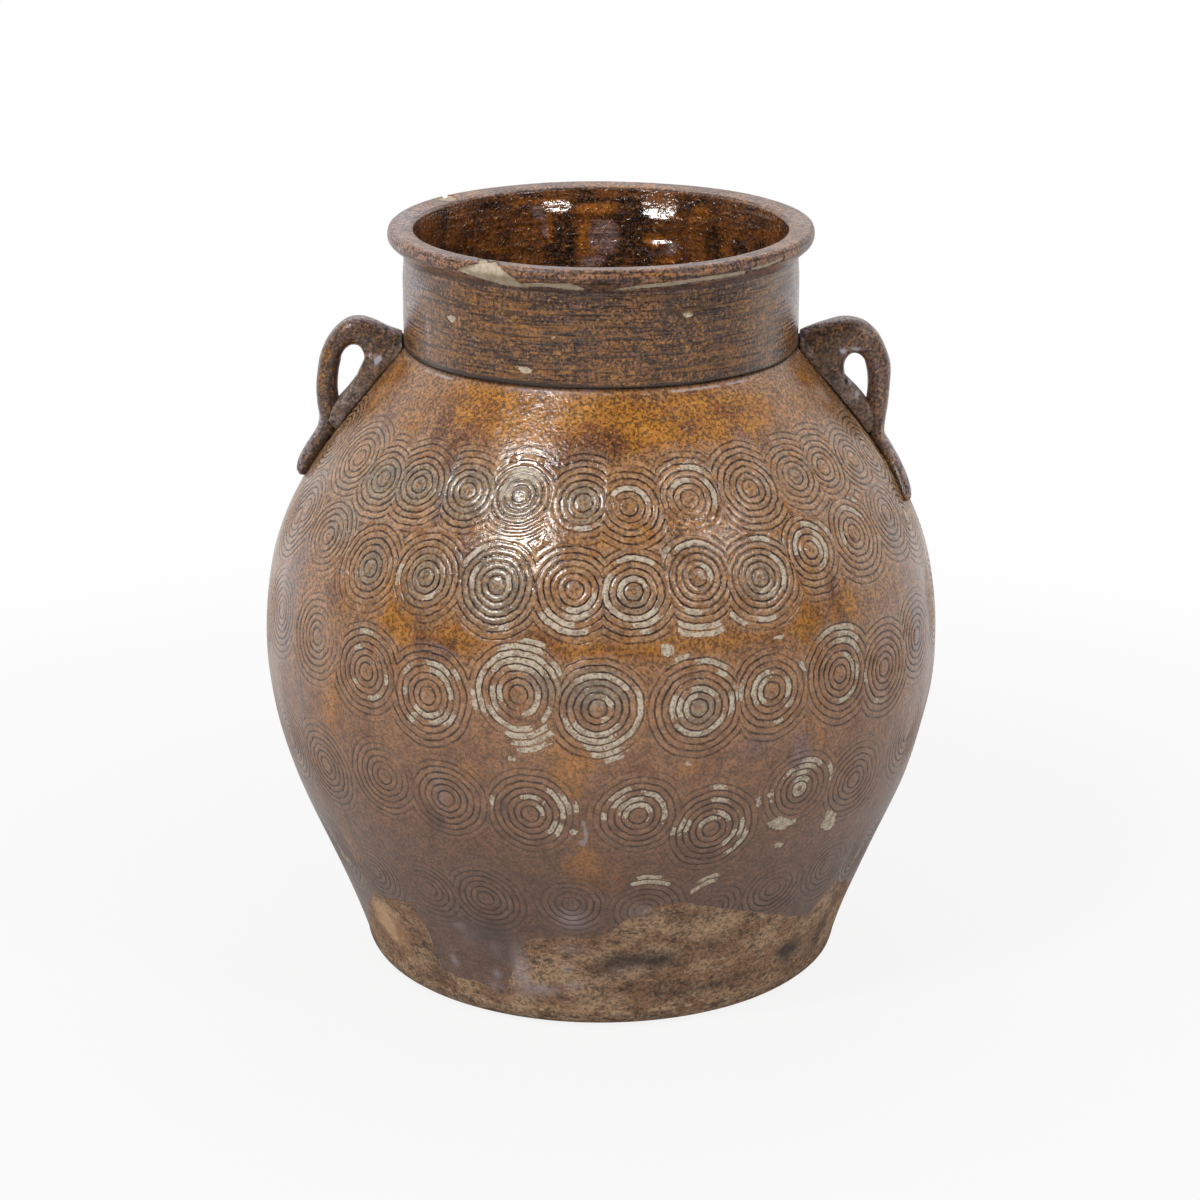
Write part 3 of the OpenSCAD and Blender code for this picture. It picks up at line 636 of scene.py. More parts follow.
# Painted sheen on the collar, mostly along its left and right edges, and a painted highlight under the seam.
NECK_SHEEN_PX = [(411, 295, 8, 45, 0.75), (428, 337, 4, 26, 0.7), (424, 290, 8, 14, 0.6), (797, 310, 6, 45, 0.7),
                (784, 300, 7, 24, 0.5), (474, 345, 8, 18, 0.5), (655, 310, 24, 8, 0.3), (690, 350, 30, 14, 0.3),
                (590, 388, 8, 5, 0.8), (500, 355, 10, 6, 0.3)]
NECK_AMBER_PX = [(415, 335, 9, 12, 0.8), (525, 326, 16, 4, 1.1), (560, 328, 14, 4, 1), (520, 372, 32, 6, 0.9),
                 (470, 297, 12, 4, 0.7), (500, 340, 30, 10, 0.5), (560, 355, 24, 5, 0.7), (445, 355, 14, 8, 0.6),
                 (545, 312, 24, 5, 0.6), (615, 322, 40, 6, 0.5), (787, 335, 7, 12, 0.9), (650, 345, 50, 8, 0.5),
                 (705, 330, 40, 16, 0.4), (620, 375, 40, 6, 0.5)]
INSIDE_DARK_PX = [(566, 235, 11, 27, 1.2), (490, 206, 24, 7, 0.9), (500, 238, 16, 8, 0.5), (738, 248, 7, 9, 1.2),
                  (590, 200, 14, 4, 1), (622, 200, 18, 4, 1), (700, 202, 10, 4, 0.9), (752, 208, 12, 4, 0.8),
                  (600, 252, 8, 6, 0.5), (480, 228, 12, 8, 0.4), (440, 215, 20, 8, 0.5), (640, 215, 10, 6, 0.5)]
# Painted sheen and painted glints in the mouth.
INSIDE_SHEEN_PX = [(604, 236, 17, 18, 1.1), (538, 212, 9, 8, 0.9), (545, 230, 5, 12, 0.7), (590, 262, 14, 6, 0.8),
                  (700, 225, 8, 6, 0.4), (745, 224, 14, 6, 0.4), (655, 254, 28, 6, 0.4), (672, 246, 10, 8, 0.6)]
INSIDE_AMBER_PX = [(549, 224, 4, 18, 1.1), (584, 240, 5, 20, 1.1), (590, 210, 14, 7, 0.9), (525, 200, 22, 5, 0.8),
                   (655, 240, 12, 8, 1), (605, 209, 18, 6, 0.8), (700, 215, 16, 10, 0.7), (760, 235, 20, 10, 0.5),
                   (725, 250, 6, 10, 0.7), (500, 250, 20, 6, 0.5), (668, 260, 14, 4, 0.8), (470, 243, 20, 8, 0.5)]


CURTAIN_PX = [(556, 206, 19, 8, 1), (660, 205, 19, 15, 1.2), (662, 242, 18, 4, 0.7)]


def throwing_lines(angle, z, depth):
    """Fine spiral ridges 2.2 mm apart, whose depth comes and goes. They run
    out to nothing over the last 3 mm at the collar's joints."""
    spiral = z + 2.2 * angle / (2 * np.pi)
    lines = np.sin(2 * np.pi * spiral / 2.2) * 0.6 + np.sin(2 * np.pi * spiral / 1.37 + 2) * 0.4
    ends = np.clip(np.minimum(ROLL_Z - z, z - SEAM_Z) / 3, 0, 1)
    return depth * ends * lines * (0.7 + 0.3 * swell(angle, z, 8, 25))


def outer_and_inner(outer, inner, outer_points, inner_points, outer_rows, inner_rows):
    """Marks from two lists of spots, one for the outside and one for what shows in the mouth."""
    return np.vstack([seen_spots(outer_points, outer_rows) * (outer_points[..., 1] < outer),
                      seen_spots(inner_points, inner_rows) * (inner_points[..., 1] > inner)])


neck_out = base_r - SKIN_IN + throwing_lines(neck_angles, z_neck, 0.16)
chips = chip_mask(round_the_axis(neck_out, z_neck, neck_angles))
neck_out = neck_out - 0.5 * chips
z_bore = np.concatenate([[ROLL_Z], np.linspace(ROLL_Z - LAP, SEAM_Z + LAP, 46), [SEAM_Z]])[:, None]
neck_in = BORE_R + SKIN_IN + throwing_lines(neck_angles, z_bore, 0.12)
neck_r = np.vstack([neck_out, neck_in])
neck_z = np.vstack([z_neck, z_bore])
out_points, in_points = (round_the_axis(r, z, neck_angles) for r, z in ((neck_out, z_neck), (neck_in, z_bore)))
neck_marks = {"chip": np.vstack([chips, 0 * neck_in])}
for mark, outer_px, inner_px in (("dark", NECK_DARK_PX, INSIDE_DARK_PX), ("painted_sheen_and_drip", NECK_SHEEN_PX, INSIDE_SHEEN_PX),
                                 ("amber", NECK_AMBER_PX, INSIDE_AMBER_PX)):
    neck_marks[mark] = outer_and_inner(0, 0, out_points, in_points, outer_px, inner_px)
neck_marks["curtain"] = outer_and_inner(0, 0, out_points, in_points, [], CURTAIN_PX)
inner = np.arange(len(neck_r)) >= len(neck_out)
pieces["neck_collar"] = grid_mesh("thrown_neck_collar", round_the_axis(neck_r, neck_z, neck_angles),
                                  neck_marks, inner, flat_rows=[len(neck_out) - 1, len(neck_r) - 1])

# %% Rim
# The mouth is not level: the roll is FRONT_DOWN mm lower in front than behind.
RIM_COLUMNS = 1000
# Painted sheen on the rim's top and edges, and a painted highlight along its front edge.
RIM_SHEEN_PX = [(398, 235, 14, 32, 0.6), (420, 212, 24, 12, 0.6), (440, 250, 34, 7, 0.5), (480, 193, 60, 5, 0.3),
               (480, 258, 60, 3, 0.6), (600, 267, 90, 2.5, 0.8), (700, 262, 60, 3, 0.6),
               (795, 215, 16, 14, 0.5), (810, 232, 10, 22, 0.4)]
RIM_AMBER_PX = [(640, 275, 60, 4, 0.7), (480, 265, 30, 4, 0.6), (750, 260, 30, 5, 0.6), (550, 274, 30, 3, 0.6),
                (610, 187, 40, 3, 0.6), (660, 188, 30, 3, 0.6)]
RIM_DARK_PX = [(545, 276, 30, 3, 0.6), (600, 284, 14, 3, 0.9), (690, 272, 40, 3, 0.4), (470, 270, 14, 4, 0.6),
               (620, 280, 40, 3, 0.4), (520, 190, 60, 4, 0.5), (720, 192, 60, 4, 0.6), (790, 204, 20, 6, 0.5)]
rim_angles = np.linspace(0, 2 * np.pi, RIM_COLUMNS, endpoint=False)[None, :]
FRONT_DOWN = 4.6
rim_r, mouth_r = NECK_R + ROLL_OUT, BORE_R + MOUTH_OUT
wide_z, mouth_z = JAR_H - 0.3 * ROLL_H, JAR_H - 0.2 * ROLL_H
crest_r = rim_r - 0.24 * (rim_r - mouth_r)
swell_out = rim_r - waist_r
under = cubic([[waist_r, ROLL_Z], [waist_r, ROLL_Z + 0.3 * ROLL_H],
               [rim_r, wide_z - 0.32 * ROLL_H], [rim_r, wide_z]], 28)
over = cubic([[rim_r, wide_z], [rim_r, JAR_H - 0.06 * ROLL_H],
              [crest_r + 0.6 * (rim_r - crest_r), JAR_H], [crest_r, JAR_H]], 14)
lip = cubic([[crest_r, JAR_H], [crest_r - 0.6 * (crest_r - mouth_r), JAR_H - 0.4],
             [mouth_r, mouth_z + 0.8 * (JAR_H - mouth_z)], [mouth_r, mouth_z]], 20)
throat = cubic([[mouth_r, mouth_z], [mouth_r - 0.5 * MOUTH_OUT, mouth_z - 0.25 * ROLL_H],
                [BORE_R, ROLL_Z + 0.25 * ROLL_H], [BORE_R, ROLL_Z]], 20)
under = np.insert(under, 1, [waist_r, ROLL_Z + LAP], 0)
throat = np.insert(throat, -1, [BORE_R, ROLL_Z + LAP], 0)
rim_section = np.vstack([under, over[1:], lip[1:], throat[1:]])
section_step = np.gradient(rim_section, axis=0)
section_out = np.stack([section_step[:, 1], -section_step[:, 0]], -1)
section_out /= np.linalg.norm(section_out, axis=1)[:, None]
ends = np.clip((rim_section[:, 1:] - ROLL_Z) / 3, 0, 1)
uneven = -SKIN_IN + 0.12 * ends * swell(rim_angles, rim_section[:, 1:], 9, 30)
rim_radius = rim_section[:, :1] + section_out[:, :1] * uneven
rim_height = np.minimum(rim_section[:, 1:] + section_out[:, 1:] * uneven, JAR_H)
droop = FRONT_DOWN / ROLL_H * (1 + np.cos(rim_angles)) / 2
rim_height = ROLL_Z + (rim_height - ROLL_Z) * (1 - droop)
rim_points = round_the_axis(rim_radius, rim_height, rim_angles)
chips = chip_mask(rim_points, far_rim=True)
chips[len(under) + len(over) + 12:] = 0
rim_radius = rim_radius - 1.3 * chips * section_out[:, :1]
rim_height = rim_height - 1.3 * chips * section_out[:, 1:]
inner = np.arange(len(rim_section)) >= len(under) + len(over) + len(lip) - 6
mouth = (inner[:, None] & (rim_points[..., 1] > 0))
rim_marks = {"chip": chips}
for mark, outer_px, inner_px in (("dark", RIM_DARK_PX, INSIDE_DARK_PX), ("painted_sheen_and_drip", RIM_SHEEN_PX, INSIDE_SHEEN_PX),
                                 ("amber", RIM_AMBER_PX, INSIDE_AMBER_PX)):
    rim_marks[mark] = np.where(mouth, seen_spots(rim_points, inner_px), seen_spots(rim_points, outer_px))
rim_marks["curtain"] = np.where(mouth, seen_spots(rim_points, CURTAIN_PX), 0)
pieces["rim_roll"] = grid_mesh("rolled_rim", round_the_axis(rim_radius, rim_height, rim_angles), rim_marks,
                               inner, flat_rows=[len(rim_section) - 1])

# %% [markdown]
# ## The handles
# Each loop is pulled from a lump of clay. Two rails, the loop's outer and
# inner edge, are given in the shoulder's own directions, and rounded sections
# are carried along them, as in the construction model.

# %% Rails of the loops
LOOP_W, STRAP_W, NECK_GAP = 17.5, 20, 1.5
LEFT_ARCH = np.array([[-0.07, 0.04, 0.66, 0.04, 1.06], [-0.06, 0.20, 0.61, 0.20, 1.08],
                      [-0.02, 0.38, 0.49, 0.28, 1.08], [0.02, 0.62, 0.35, 0.34, 1.04],
                      [0.07, 0.81, 0.29, 0.50, 1.00], [0.15, 0.94, 0.32, 0.62, 1.00],
                      [0.27, 1.00, 0.39, 0.66, 1.00], [0.42, 0.99, 0.46, 0.64, 1.00],
                      [0.56, 0.92, 0.50, 0.60, 1.00], [0.69, 0.80, 0.58, 0.53, 1.00],
                      [0.82, 0.65, 0.69, 0.40, 1.00], [0.94, 0.47, 0.80, 0.23, 1.00],
                      [1.01, 0.34, 0.89, 0.12, 1.00]])
RIGHT_ARCH = np.array([[-0.07, 0.04, 0.62, 0.04, 1.06], [-0.06, 0.20, 0.57, 0.16, 1.08],
                       [-0.03, 0.38, 0.48, 0.25, 1.08], [0.02, 0.57, 0.41, 0.34, 1.04],
                       [0.07, 0.74, 0.38, 0.44, 1.00], [0.14, 0.87, 0.38, 0.53, 1.00],
                       [0.24, 0.97, 0.42, 0.59, 1.00], [0.38, 1.00, 0.48, 0.60, 1.00],
                       [0.52, 0.95, 0.54, 0.56, 1.00], [0.66, 0.85, 0.61, 0.49, 1.00],
                       [0.80, 0.65, 0.69, 0.38, 1.00], [0.92, 0.46, 0.79, 0.23, 1.00],
                       [1.00, 0.32, 0.89, 0.11, 1.00]])
HANDLES = {"left": dict(side=-1, arch=LEFT_ARCH, span=63, rise=36, tail=38, tail_h=8.5, drift=0,
                        strap_t=6.5, smeared=3.8),
           "right": dict(side=1, arch=RIGHT_ARCH, span=66, rise=39, tail=45, tail_h=6.5, drift=28,
                         strap_t=5.5, smeared=5)}
TAIL = np.array([[0.13, 1.15, 0.02, -0.15, 0.98], [0.26, 1.03, 0.18, -0.15, 0.90],
                 [0.50, 0.99, 0.47, -0.15, 0.76], [0.75, 0.90, 0.70, -0.15, 0.64],
                 [0.93, 0.66, 0.87, -0.15, 0.48], [1.00, 0.30, 0.95, -0.12, 0.28]])


def through(rows, steps):
    """Smooth curve that passes through every row (Catmull-Rom)."""
    ends = np.vstack([rows[:1], rows, rows[-1:]])
    a, b, c, d = (ends[k:len(rows) - 1 + k, None] for k in range(4))
    t = (np.arange(steps) / steps)[None, :, None]
    curve = 0.5 * (2 * b + (c - a) * t + (2 * a - 5 * b + 4 * c - d) * t ** 2
                   + (3 * b - a - 3 * c + d) * t ** 3)
    return np.vstack([curve.reshape(-1, rows.shape[1]), rows[-1:]])


def on_shoulder(run, height):
    """Radius and height of a point given by its run down the shoulder from the seam."""
    return off_skin(SEAM_Z - run * np.cos(SEAM_LEAN), height)


# %% Colours on the handles, as pixels
# On the handles the dark spots are painted shade in the creases and gaps and under the tails, and the pale spots are
# painted highlights and sheen.
LOOP_SHADE_PX = [(397, 340, 5, 10, 0.9), (386, 333, 2.2, 12, 0.8), (372, 345, 8, 6, 0.5), (338, 345, 5, 8, 0.5),
                (331, 395, 5, 22, 0.6), (328, 440, 5, 12, 0.8), (316, 456, 5, 9, 0.8), (830, 335, 2.4, 12, 1),
                (840, 364, 2.4, 8, 1), (846, 381, 2.4, 4, 1), (858, 340, 14, 4, 0.3), (872, 380, 4, 20, 0.3),
                (806, 345, 3, 8, 0.7)]
LOOP_AMBER_PX = [(345, 327, 9, 5, 0.7), (326, 352, 5, 13, 0.9), (322, 382, 4, 18, 0.8), (370, 330, 9, 5, 0.5),
                 (380, 352, 6, 6, 0.4), (330, 412, 5, 8, 0.4), (820, 341, 5, 6, 0.7), (882, 350, 4, 8, 0.4),
                 (882, 395, 4, 14, 0.4), (845, 326, 10, 4, 0.4)]
LOOP_SHINE_PX = [(358, 320, 14, 3, 0.7), (387, 341, 3, 7, 0.6), (308, 448, 6, 16, 0.6), (300, 466, 4, 9, 0.7),
                (376, 362, 4.5, 6, 1.2), (370, 355, 3, 3, 1.2), (380, 358, 3, 3, 1.2), (843, 351, 5, 4, 1.2),
                (856, 349, 6, 2.4, 1.2), (845, 366, 2.4, 5, 1.2), (850, 381, 2.4, 5, 1.1), (857, 395, 2.4, 5, 1.1),
                (812, 325, 6, 4, 0.5), (896, 450, 6, 22, 0.5), (872, 375, 24, 50, 0.5)]


def swept(name, rails, side, square, dark_under, dark_from, pale_from, ragged=0.0, sides=56):
    """Closed tube along two rails: rows of outer run and height, inner run and
    height, half width and drift. square is 1 for an ellipse, less for a box.
    Across the tube, 1 is its outer edge and -1 the inner one. The marks darken
    it with painted shade by dark_under inwards of dark_from, and pale it with a
    painted sheen outwards of pale_from."""
    outer = np.stack(on_shoulder(rails[:, 0], rails[:, 1]), -1)
    inner = np.stack(on_shoulder(rails[:, 2], rails[:, 3]), -1)
    middle, half = (outer + inner) / 2, (outer - inner) / 2
    turn = np.linspace(0, 2 * np.pi, sides, endpoint=False)
    c, s = (np.sign(f(turn)) * np.abs(f(turn)) ** square for f in (np.cos, np.sin))
    along = np.arange(len(rails))[:, None] * 1.0
    lumps = 1 - 0.012 * (1 + swell(turn[None, :], along, 31 + side, 40))
    nicks = 1 - ragged * (1 + np.sin(1.3 * along + side) * np.sin(0.47 * along) + 0.6 * np.sin(3.1 * along))
    x = middle[:, :1] + half[:, :1] * c * lumps
    z = middle[:, 1:] + half[:, 1:] * c * lumps
    y = rails[:, 4:5] * s * lumps * nicks
    way = rails[:, 5:] / middle[:, :1]
    px, py = x * np.cos(way) + y * np.sin(way), y * np.cos(way) - x * np.sin(way)
    far = np.hypot(px, py)
    keep = np.where(z > SEAM_Z - 2, np.maximum(far, NECK_R + 0.6 * NECK_GAP), far) / far
    points = np.stack([side * px * keep, py * keep, z], -1)
    # Painted shade on the inner and under side of the tube.
    under = dark_under * np.clip((dark_from - c) * 3, 0, 1)
    # Painted sheen on the outer edge of the tube.
    pale = 0.75 * np.clip((c - pale_from) * 5, 0, 1)
    marks = {"dark": seen_spots(points, LOOP_SHADE_PX) + under,
             "painted_sheen_and_drip": np.maximum(seen_spots(points, LOOP_SHINE_PX), pale),
             "amber": seen_spots(points, LOOP_AMBER_PX)}
    if side > 0:
        points = points[:, ::-1]
        marks = {mark: values[:, ::-1] for mark, values in marks.items()}
    return grid_mesh(name, points, marks, wrap_rows=False)


# %% Handles
for name, h in HANDLES.items():
    scale = np.array([h["span"], h["rise"], h["span"], h["rise"], LOOP_W / 2])
    arch = np.hstack([h["arch"] * scale, np.zeros((len(h["arch"]), 1))])
    scale = np.array([h["tail"], h["tail_h"], h["tail"], h["tail_h"], LOOP_W / 2])
    tail = TAIL * scale + np.array([h["span"], 0, h["span"], 0, 0])
    tail = np.hstack([tail, h["drift"] * TAIL[:, :1] ** 1.4])
    rails = through(np.vstack([arch, tail]), 9)
    on_tail = np.clip((np.arange(len(rails))[:, None] - 9 * len(arch) + 14) / 9, 0, 1)
    # Loops: painted shade on the inner side, stronger along the tail, and a painted sheen on the outer edge.
    pieces[name + "_handle_loop"] = swept("pulled_%s_loop" % name, rails, h["side"], 0.85, 0.3 + 0.6 * on_tail,
                                          0.35 * on_tail - 0.1, 0.72 - 0.35 * on_tail)
    runs = np.linspace(-3, h["span"] + 1, 110)
    ends = np.clip(np.minimum(runs + 3.4, h["span"] + 1.4 - runs) / 3, 0.05, 1) ** 0.5
    thick = h["strap_t"] + h["smeared"] * np.clip((runs - 10) / 18, 0, 1)
    thick = thick * (0.94 + 0.06 * np.sin(runs / 7 + h["side"])) * np.clip(
        (h["span"] + 8 - runs) / 18, 0.3, 1) ** 0.5
    band = np.stack([runs, thick * ends, runs, -1.5 + 0 * runs,
                     STRAP_W / 2 * (0.3 + 0.7 * ends), 0 * runs], -1)
    # Straps: painted shade along the under side, and no sheen.
    pieces[name + "_handle_strap"] = swept("pressed_%s_strap" % name, band, h["side"], 0.45, 1.0, -0.5, 2, 0.05)


# %% [markdown]
# ## Writing materials as sums
# A material here is a sum of masks. One small class wraps a socket, so that
# 1 - mask or a * b adds the Math node that it needs.

# %% Sockets that can be added and multiplied
class Wire:
    """A socket of a material. Sums of wires and numbers add Math nodes."""

    def __init__(self, tree, socket=None):
        self.tree, self.socket = tree, socket

    def node(self, kind, out=0, stops=None, settings=None, sockets=None):
        """Adds a node. Its settings come first, then its sockets, each a value or a wire."""
        made = self.tree.nodes.new(kind)
        for key, value in (settings or {}).items():
            setattr(made, key, value)
        if stops:
            ramp = made.color_ramp.elements
            ramp[0].position, ramp[1].position = stops[0][0], stops[-1][0]
            ramp[0].color, ramp[1].color = stops[0][1], stops[-1][1]
            for place, colour in stops[1:-1]:
                ramp.new(place).color = colour
        for key, value in (sockets or {}).items():
            if isinstance(value, Wire):
                self.tree.links.new(value.socket, made.inputs[key])
            else:
                made.inputs[key].default_value = value
        return Wire(self.tree, made.outputs[out])

    def math(self, operation, a, b=0.0, clamp=False):
        return self.node("ShaderNodeMath", settings={"operation": operation, "use_clamp": clamp},
                         sockets={0: a, 1: b})

    def __add__(self, other): return self.math("ADD", self, other)
    def __radd__(self, other): return self.math("ADD", other, self)
    def __sub__(self, other): return self.math("SUBTRACT", self, other)
    def __rsub__(self, other): return self.math("SUBTRACT", other, self)
    def __mul__(self, other): return self.math("MULTIPLY", self, other)
    def __rmul__(self, other): return self.math("MULTIPLY", other, self)
    def __truediv__(self, other): return self.math("DIVIDE", self, other)
    def __abs__(self): return self.math("ABSOLUTE", self)

    def rounded(self): return self.math("ROUND", self)
    def least(self, other): return self.math("MINIMUM", self, other)
    def most(self, other): return self.math("MAXIMUM", self, other)

    def step(self, low, high):
        """0 below low, 1 above high and smooth between. low may be above high."""
        flip = low > high
        if flip:
            low, high = high, low
        made = self.node("ShaderNodeMapRange", settings={"interpolation_type": "SMOOTHSTEP"},
                         sockets={"Value": self, "From Min": low, "From Max": high})
        return 1 - made if flip else made

    def shade(self, colour, factor):
        """Colour made darker or lighter by a factor."""
        return self.node("ShaderNodeVectorMath", settings={"operation": "SCALE"},
                         sockets={0: colour if isinstance(colour, Wire) else colour[:3], 3: factor})

    def mix(self, a, b, mask):
        """Colour a where mask is 0 and b where it is 1."""
        return self.node("ShaderNodeMix", out=2, settings={"data_type": "RGBA"},
                         sockets={0: mask, 6: a, 7: b})


def srgb(red, green, blue):
    """A colour as a screen shows it, 0 to 255, as the linear colour that shaders use."""
    c = np.array([red, green, blue]) / 255
    c = np.where(c <= 0.04045, c / 12.92, ((c + 0.055) / 1.055) ** 2.4)
    return (*map(float, c), 1.0)


class Finish:
    """A new material with its coordinates, noises and marks."""

    def __init__(self, name):
        self.material = bpy.data.materials.new(name)
        self.material.use_nodes = True
        tree = self.material.node_tree
        self.wire = Wire(tree)
        self.shader = tree.nodes["Principled BSDF"]
        self.tree = tree
        self.place = self.wire.node("ShaderNodeTexCoord", out=3)

    def mark(self, name):
        return self.wire.node("ShaderNodeAttribute", out=2, settings={"attribute_name": name})

    def noise(self, size_mm, detail=2.0, stretch=(1, 1, 1), rough=0.5):
        """Noise with features of about size_mm, longer along an axis whose stretch is under 1."""
        where = self.wire.node("ShaderNodeMapping", sockets={"Vector": self.place, "Scale": stretch})
        return self.wire.node("ShaderNodeTexNoise", sockets={
            "Vector": where, "Scale": 1000 / size_mm, "Detail": detail, "Roughness": rough})

    def height(self):
        return self.wire.node("ShaderNodeSeparateXYZ", out=2, sockets={0: self.place})

    def finish(self, colour, roughness, bump, bump_mm, lean=None, bends=1.7):
        """Wires the colour, roughness and bump up. Where lean is 1, glaze hangs in a thick
        flat sheet whose face is tipped up. bends is how strongly the glaze bends light."""
        relief = {"Strength": 1.0, "Distance": bump_mm * MM, "Height": bump}
        if lean is not None:
            straight = self.wire.node("ShaderNodeNewGeometry", out=1)
            across = self.wire.node("ShaderNodeSeparateXYZ", sockets={0: self.place}) / (BORE_R * MM)
            up = self.wire.node("ShaderNodeCombineXYZ", sockets={0: (across - 0.28) * lean, 2: lean * 0.51})
            both = self.wire.node("ShaderNodeVectorMath", settings={"operation": "ADD"}, sockets={0: straight, 1: up})
            relief["Normal"] = self.wire.node("ShaderNodeVectorMath", settings={"operation": "NORMALIZE"},
                                              sockets={0: both})
        sockets = {"Base Color": colour, "Roughness": roughness, "IOR": bends,
                   "Normal": self.wire.node("ShaderNodeBump", sockets=relief)}
        for key, value in sockets.items():
            if isinstance(value, Wire):
                self.tree.links.new(value.socket, self.shader.inputs[key])
            else:
                self.shader.inputs[key].default_value = value
        return self.material


# %% [markdown]
# ## The glazes
# The ash glaze is a brown film full of dark specks and of pale specks that are
# painted glints. It is amber where it lies thick and mauve where it is thin. It
# has worn off the crests of the rings to pale clay, and the grooves are painted
# dark as shade.

# %% Colours
BROWN, LOW_BROWN = srgb(154, 109, 72), srgb(100, 69, 51)
AMBER, DEEP_AMBER, OCHRE = srgb(178, 116, 34), srgb(122, 66, 16), srgb(192, 142, 74)
RUST = srgb(100, 56, 36)
MAUVE, PAINTED_SHEEN, CREST = srgb(124, 98, 96), srgb(182, 170, 174), srgb(176, 154, 130)
GLINT = srgb(196, 188, 190)
DARK, GREY = srgb(38, 27, 24), srgb(136, 126, 110)
CREAM, WORN_CLAY = srgb(212, 196, 172), srgb(180, 158, 134)
BUFF, TAN, SOIL = srgb(178, 144, 110), srgb(146, 108, 78), srgb(60, 46, 40)
FRESH_CLAY = srgb(196, 168, 136)


def speckled(f, colour, strength=1.0, size=1.7, ochre=OCHRE):
    """The grain of the glaze: a film that is ochre in places, full of dark specks
    a millimetre apart and of fewer pale specks, which are painted glints."""
    w = f.wire
    grain, tint, pale = f.noise(size, 2.5, rough=0.65), f.noise(1.3 * size, 2.5, rough=0.6), f.noise(size, 1.0)
    colour = w.mix(colour, ochre, tint.step(0.50, 0.62) * (0.45 * strength))
    colour = w.mix(colour, MAUVE, tint.step(0.46, 0.36) * (0.3 * strength))
    # Painted glints: pale specks of a near-white colour.
    colour = w.mix(colour, GLINT, pale.step(0.64, 0.72) * (0.3 * strength))
    light = 1.36 - 1.0 * strength * grain.step(0.45, 0.60)
    return w.shade(colour, light * (0.82 + 0.36 * f.noise(5.5, 3.0).step(0.3, 0.7))), grain


def bare_clay(f):
    """Unglazed stoneware: buff with grit, scraped fresh in places, and dirt in short
    level smears. It is smooth and clean where the amber mark is strong."""
    w = f.wire
    dirty = f.mark("amber").step(0.7, 0.25)
    colour = w.mix(BUFF, TAN, f.noise(26, 4.0, (1, 1, 1.6), rough=0.6).step(0.40, 0.58))
    stain = f.noise(7, 6.0, (0.8, 0.8, 1.3), rough=0.85)
    colour = w.mix(colour, SOIL, stain.step(0.50, 0.60) * dirty * 0.7)
    colour = w.mix(colour, FRESH_CLAY, f.noise(5, 5.0, (0.8, 0.8, 1.3), rough=0.8).step(0.55, 0.65) * 0.6)
    grit = f.noise(2.0, 3.0, rough=0.7)
    return w.shade(colour, 1.45 - 0.25 * dirty - (0.25 + 0.4 * dirty) * grit.step(0.46, 0.60))


